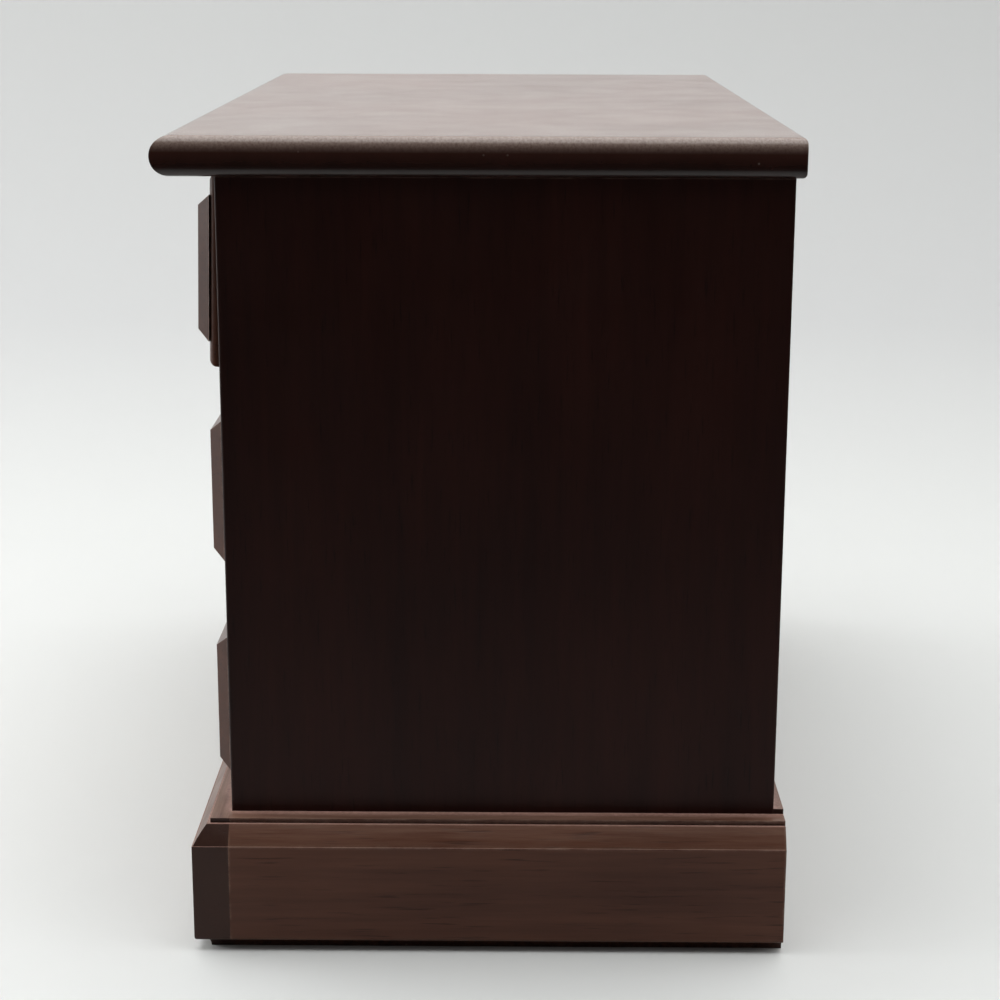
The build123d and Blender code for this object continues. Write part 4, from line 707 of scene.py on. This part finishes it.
def cut_grid(low, high, cell):
    """Bisects all of the mesh in edit mode into cells along X and Y."""
    for axis in (0, 1):
        count = round((high[axis] - low[axis]) / cell)
        for step in range(1, count):
            cut = [0, 0, 0]
            cut[axis] = low[axis] + (high[axis] - low[axis]) * step / count
            normal = [0, 0, 0]
            normal[axis] = 1
            bpy.ops.mesh.select_all(action="SELECT")
            bpy.ops.mesh.bisect(plane_co=cut, plane_no=normal)


def wall_panels(name, spans, body, node):
    """Velvet-covered card panels between pairs of corners, their edges turned over and rounded."""
    blocks = [add_block(low, high) for low, high in spans]
    bpy.ops.object.select_all(action="DESELECT")
    for block in blocks:
        block.select_set(True)
    bpy.context.view_layer.objects.active = blocks[0]
    bpy.ops.object.join()
    panels = bpy.context.object
    panels.name = name
    bpy.ops.object.mode_set(mode="EDIT")
    bpy.ops.mesh.select_all(action="SELECT")
    bpy.ops.mesh.bevel(offset=panel_round, segments=3, affect="EDGES")
    bpy.ops.mesh.normals_make_consistent(inside=False)
    bpy.ops.object.mode_set(mode="OBJECT")
    bpy.ops.object.shade_smooth_by_angle(angle=smooth_angle)
    panels.data.materials.append(velvet)
    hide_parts(node)
    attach(panels, body)
    bpy.ops.object.select_all(action="DESELECT")


def floor_pad(name, low, high, body, node, notch=None):
    """Thin wadded pad, crowned between its edges, its corner at low X and high Y cut away at the notch."""
    pad = add_block(low, high)
    pad.name = name
    if notch:
        corner = add_block(
            (low[0] - notch_margin, notch[1], low[2] - notch_margin),
            (notch[0], high[1] + notch_margin, high[2] + notch_margin),
        )
        bpy.ops.object.select_all(action="DESELECT")
        pad.select_set(True)
        bpy.context.view_layer.objects.active = pad
        cut = pad.modifiers.new("notch", "BOOLEAN")
        cut.operation = "DIFFERENCE"
        cut.object = corner
        bpy.ops.object.modifier_apply(modifier=cut.name)
        bpy.data.objects.remove(corner)
    bpy.ops.object.mode_set(mode="EDIT")
    cut_grid(low, high, pad_cell)
    bpy.ops.mesh.select_all(action="DESELECT")
    bpy.ops.object.mode_set(mode="OBJECT")
    for point in pad.data.vertices:
        place = point.co
        reach = min(place.x - low[0], high[0] - place.x, place.y - low[1], high[1] - place.y)
        if notch:
            beside = max(place.x - notch[0], 0.0)
            before = max(notch[1] - place.y, 0.0)
            reach = min(reach, (beside * beside + before * before) ** 0.5)
        if place.z > (low[2] + high[2]) / 2:
            soft = 1 - (1 - min(reach / (3 * pad_edge_softness), 1)) ** 3
            bend = 2 * sin(place.y * ripple_bend)
            ripple = sin(place.x * ripple_across + bend) * sin(place.y * ripple_along + ripple_start)
            ripple = pad_ripple * ripple
            place.z += pad_crown * soft * (1 + ripple) - pad_crown * 0.5 * (1 - soft)
    bpy.ops.object.mode_set(mode="EDIT")
    bpy.ops.mesh.select_all(action="SELECT")
    bpy.ops.mesh.normals_make_consistent(inside=False)
    bpy.ops.object.mode_set(mode="OBJECT")
    bpy.ops.object.shade_smooth_by_angle(angle=smooth_angle)
    pad.data.materials.append(velvet)
    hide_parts(node)
    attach(pad, body)
    bpy.ops.object.select_all(action="DESELECT")


bpy.ops.object.select_all(action="DESELECT")
lining_low, lining_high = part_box("compartment_lining")
bay_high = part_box("compartment_partitions")[1].x + panel_gap
bay_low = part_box("compartment_partitions")[0].y - panel_gap
lining_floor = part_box("ring_rolls")[0].z
wall_foot = lining_low.z + panel_gap
wall_top = lining_high.z
left, right = lining_low.x, lining_high.x
front, rear = lining_low.y, lining_high.y
compartment_walls = (
    ((left, front, wall_foot), (right, front + card, wall_top)),
    ((left, front + card + panel_gap, wall_foot), (left + card, bay_low, wall_top)),
    ((left + card + panel_gap, bay_low - card, wall_foot), (bay_high + card, bay_low, wall_top)),
    ((bay_high, bay_low + panel_gap, wall_foot), (bay_high + card, rear, wall_top)),
    ((bay_high + card + panel_gap, rear - card, wall_foot), (right - card - panel_gap, rear, wall_top)),
    ((right - card, front + card + panel_gap, wall_foot), (right, rear, wall_top)),
)
wall_panels("compartment_walls", compartment_walls, "case", "compartment_lining")
inset = card + pad_gap
floor_pad(
    "compartment_floor_pad",
    (left + inset, front + inset, wall_foot),
    (right - inset, rear - inset, lining_floor - pad_crown),
    "case",
    "compartment_lining",
    notch=(bay_high + inset, bay_low - inset),
)
for drawer in ("lower", "upper"):
    node = f"{drawer}_drawer_lining"
    low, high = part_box(node)
    foot = low.z + panel_gap
    pad_top = low.z + drawer_pad_height
    drawer_walls = (
        ((low.x, low.y, foot), (high.x, low.y + card, high.z)),
        ((low.x, high.y - card, foot), (high.x, high.y, high.z)),
        ((low.x, low.y + card + panel_gap, foot), (low.x + card, high.y - card - panel_gap, high.z)),
        ((high.x - card, low.y + card + panel_gap, foot), (high.x, high.y - card - panel_gap, high.z)),
    )
    wall_panels(f"{drawer}_drawer_walls", drawer_walls, f"{drawer}_drawer", node)
    floor_pad(
        f"{drawer}_drawer_floor_pad",
        (low.x + inset, low.y + inset, foot),
        (high.x - inset, high.y - inset, pad_top),
        f"{drawer}_drawer",
        node,
    )

# Ring rolls: bars of foam wrapped in the same velvet, set side by side so that a ring stands between two.
# One is blown up a little like a real stuffed bar, then copied along the row.
roll_count = 7
roll_gap = 0.0003
roll_slack = 0.0005
roll_voxel = 0.0016
roll_swell = 0.0006
roll_frames = 16
roll_round = 0.46
roll_shoulder = 0.012
roll_sway = 0.00012
sway_waves = 70
sway_step = 2.1
roll_lift = 0.0002
lift_waves = 45
lift_step = 1.7
foam_pressure = 4
foam_stiffness = 25
rolls_low, rolls_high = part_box("ring_rolls")
roll_pitch = (rolls_high.x - rolls_low.x + roll_gap) / roll_count
roll_low = Vector((rolls_low.x + roll_slack, rolls_low.y + roll_slack, rolls_low.z + 2 * panel_gap))
roll_right = rolls_low.x + roll_pitch - roll_gap - roll_slack
roll_high = Vector((roll_right, rolls_high.y - roll_slack, rolls_high.z - roll_slack))
roll = add_block(roll_low, roll_high)
roll.name = "ring_roll_pads"
bpy.ops.object.mode_set(mode="EDIT")
roll_mesh = bmesh.from_edit_mesh(roll.data)
for edge in roll_mesh.edges:
    start, end = (corner.co for corner in edge.verts)
    lengthwise = abs(start.y - end.y) > roll_pitch
    edge.select = lengthwise and min(start.z, end.z) > roll_low.z + panel_gap
bmesh.update_edit_mesh(roll.data)
bpy.ops.mesh.bevel(offset=(roll_high.x - roll_low.x) * roll_round, segments=6, affect="EDGES")
bpy.ops.object.mode_set(mode="OBJECT")
remesh = roll.modifiers.new("remesh", "REMESH")
remesh.mode = "VOXEL"
remesh.voxel_size = roll_voxel
bpy.ops.object.modifier_apply(modifier=remesh.name)
drawn = [v.co.copy() for v in roll.data.vertices]
foam = roll.modifiers.new("foam", "CLOTH")
foam.settings.use_pressure = True
foam.settings.uniform_pressure_force = foam_pressure
foam.settings.tension_stiffness = foam_stiffness
foam.settings.compression_stiffness = foam_stiffness
foam.settings.effector_weights.gravity = 0
for step in range(1, roll_frames + 1):
    scene.frame_set(step)
bpy.ops.object.modifier_apply(modifier=foam.name)
scene.frame_set(1)
for point, start in zip(roll.data.vertices, drawn):
    move = point.co - start
    if move.length > roll_swell:
        point.co = start + move * (roll_swell / move.length)
    point.co.x = min(max(point.co.x, roll_low.x - roll_slack), roll_high.x + roll_slack)
    point.co.z = max(point.co.z, roll_low.z)
finer = roll.modifiers.new("finer", "SUBSURF")
finer.levels = 1
finer.render_levels = 1
bpy.ops.object.modifier_apply(modifier=finer.name)
bpy.ops.object.shade_smooth()
rolls = [roll]
for number in range(1, roll_count):
    copy = roll.copy()
    copy.data = roll.data.copy()
    scene.collection.objects.link(copy)
    for point in copy.data.vertices:
        sway = roll_sway * sin(point.co.y * sway_waves + number * sway_step)
        point.co.x += number * roll_pitch + sway
        if point.co.z > rolls_low.z + roll_shoulder:
            point.co.z += roll_lift * sin(point.co.y * lift_waves + number * lift_step)
    rolls.append(copy)
bpy.ops.object.select_all(action="DESELECT")
for piece in rolls:
    piece.select_set(True)
bpy.context.view_layer.objects.active = roll
bpy.ops.object.join()
roll.data.materials.append(velvet)
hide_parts("ring_rolls")
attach(roll, "case")
bpy.ops.object.select_all(action="DESELECT")

# Musical movement: a machined brass train on a cast bedplate with a tempered steel comb,
# seen through the window from above. The fine marks follow the way each part was turned or ground.
turned_across = (6, 0.3, 0.3)
turned_deep = (0.3, 6, 0.3)
ground_along = (6, 1, 0.3)
movement_brass = (0.78, 0.6, 0.3, 1)
train_brass = worked_metal(
    "turned_brass", movement_brass, brown_film, 0.22, (0.18, 0.4), 0.25, turned_across
)
wheel_brass = worked_metal("wheel_brass", movement_brass, brown_film, 0.22, (0.2, 0.42), 0.2, turned_deep)
plate_metal = worked_metal("cast_plate", (0.52, 0.51, 0.48, 1), (0.2, 0.19, 0.17, 1), 0.4, (0.4, 0.62), 0.5)
ground_steel = worked_metal(
    "ground_steel", (0.6, 0.61, 0.63, 1), (0.25, 0.25, 0.27, 1), 0.2, (0.22, 0.38), 0.25, ground_along
)
dress(train_brass, "cylinder", "intermediate_wheel", "governor_fly")
dress(wheel_brass, "great_wheel", "spring_housing", "governor_frame", "stop_lever", "winding_key")
dress(plate_metal, "bedplate")
dress(ground_steel, "comb", "comb_screws", "cylinder_arbor", "winding_arbor", "movement_screws")

# Worm of the governor: three right-handed threads cut round the foot of the fly's arbor, which the last
# wheel of the train drives. Half way up, the groove between two threads faces the wheel.
worm_starts = 3
worm_pitch = 0.00157
worm_crest = 0.0017
worm_root = 0.00062
worm_length = 0.0048
worm_bead = 0.00024
worm_steps = 28
fly_low, fly_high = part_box("governor_fly")
worm_axis = ((fly_low.x + fly_high.x) / 2, (fly_low.y + fly_high.y) / 2)
wheel_low, wheel_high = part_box("intermediate_wheel")
worm_middle = (wheel_low.z + wheel_high.z) / 2
worm_foot = worm_middle - worm_length / 2
wheel_side = -pi / 2
threads = []
for start in range(worm_starts):
    bpy.ops.mesh.primitive_circle_add(vertices=6, radius=worm_bead, fill_type="NOTHING")
    thread = bpy.context.object
    bpy.ops.object.mode_set(mode="EDIT")
    bpy.ops.mesh.select_all(action="SELECT")
    bpy.ops.transform.rotate(value=pi / 2, orient_axis="X", center_override=(0, 0, 0))
    bpy.ops.transform.resize(value=((worm_crest - worm_root) / 2 / worm_bead, 1, 1))
    bpy.ops.transform.translate(value=((worm_crest + worm_root) / 2, 0, 0))
    bpy.ops.object.mode_set(mode="OBJECT")
    wind = thread.modifiers.new("wind", "SCREW")
    wind.axis = "Z"
    wind.angle = 2 * pi * worm_length / (worm_starts * worm_pitch)
    wind.screw_offset = worm_length
    wind.steps = worm_steps
    wind.render_steps = worm_steps
    wind.use_merge_vertices = True
    bpy.ops.object.modifier_apply(modifier=wind.name)
    groove_turn = (0.5 - (worm_length / 2 / worm_pitch) % 1) / worm_starts
    thread_turn = 2 * pi / worm_starts * start
    thread.rotation_euler = (0, 0, wheel_side + 2 * pi * groove_turn + thread_turn)
    thread.location = (*worm_axis, worm_foot)
    threads.append(thread)
bpy.ops.object.select_all(action="DESELECT")
for thread in threads:
    thread.select_set(True)
bpy.context.view_layer.objects.active = threads[0]
bpy.ops.object.join()
worm = bpy.context.object
worm.name = "governor_worm_threads"
bpy.ops.object.transform_apply(location=True, rotation=True, scale=True)
bpy.ops.object.mode_set(mode="EDIT")
bpy.ops.mesh.select_all(action="SELECT")
bpy.ops.mesh.remove_doubles(threshold=1e-6)
bpy.ops.mesh.select_all(action="DESELECT")
bpy.ops.mesh.select_non_manifold(extend=False)
bpy.ops.mesh.edge_face_add()
bpy.ops.mesh.select_all(action="SELECT")
bpy.ops.mesh.normals_make_consistent(inside=False)
bpy.ops.object.mode_set(mode="OBJECT")
bpy.ops.object.shade_smooth_by_angle(angle=radians(40))
worm.data.materials.append(train_brass)
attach(worm, "fly")
bpy.ops.object.select_all(action="DESELECT")

# Window over the movement: a sheet of clear plastic laid in the rebate of the partitions,
# slotted for the finger of the stop lever.
scuff_scale = 120
scuff_roughness = 0.03
clear_plastic = bpy.data.materials.new("clear_plastic")
clear_plastic.use_nodes = True
clear_tree = clear_plastic.node_tree
clear_shader = clear_tree.nodes["Principled BSDF"]
clear_shader.inputs["Base Color"].default_value = (0.97, 0.98, 0.98, 1)
clear_shader.inputs["Transmission Weight"].default_value = 1
clear_shader.inputs["IOR"].default_value = 1.45
clear_shader.inputs["Alpha"].default_value = 0.2
clear_place = clear_tree.nodes.new("ShaderNodeTexCoord").outputs["Object"]
scuffs = noise(clear_tree, clear_place, scuff_scale, 5, 0.6)
scuffs = spread(clear_tree, scuffs, 0.4, 0.75, 0, scuff_roughness)
clear_tree.links.new(scuffs, clear_shader.inputs["Roughness"])
dress(clear_plastic, "movement_window")
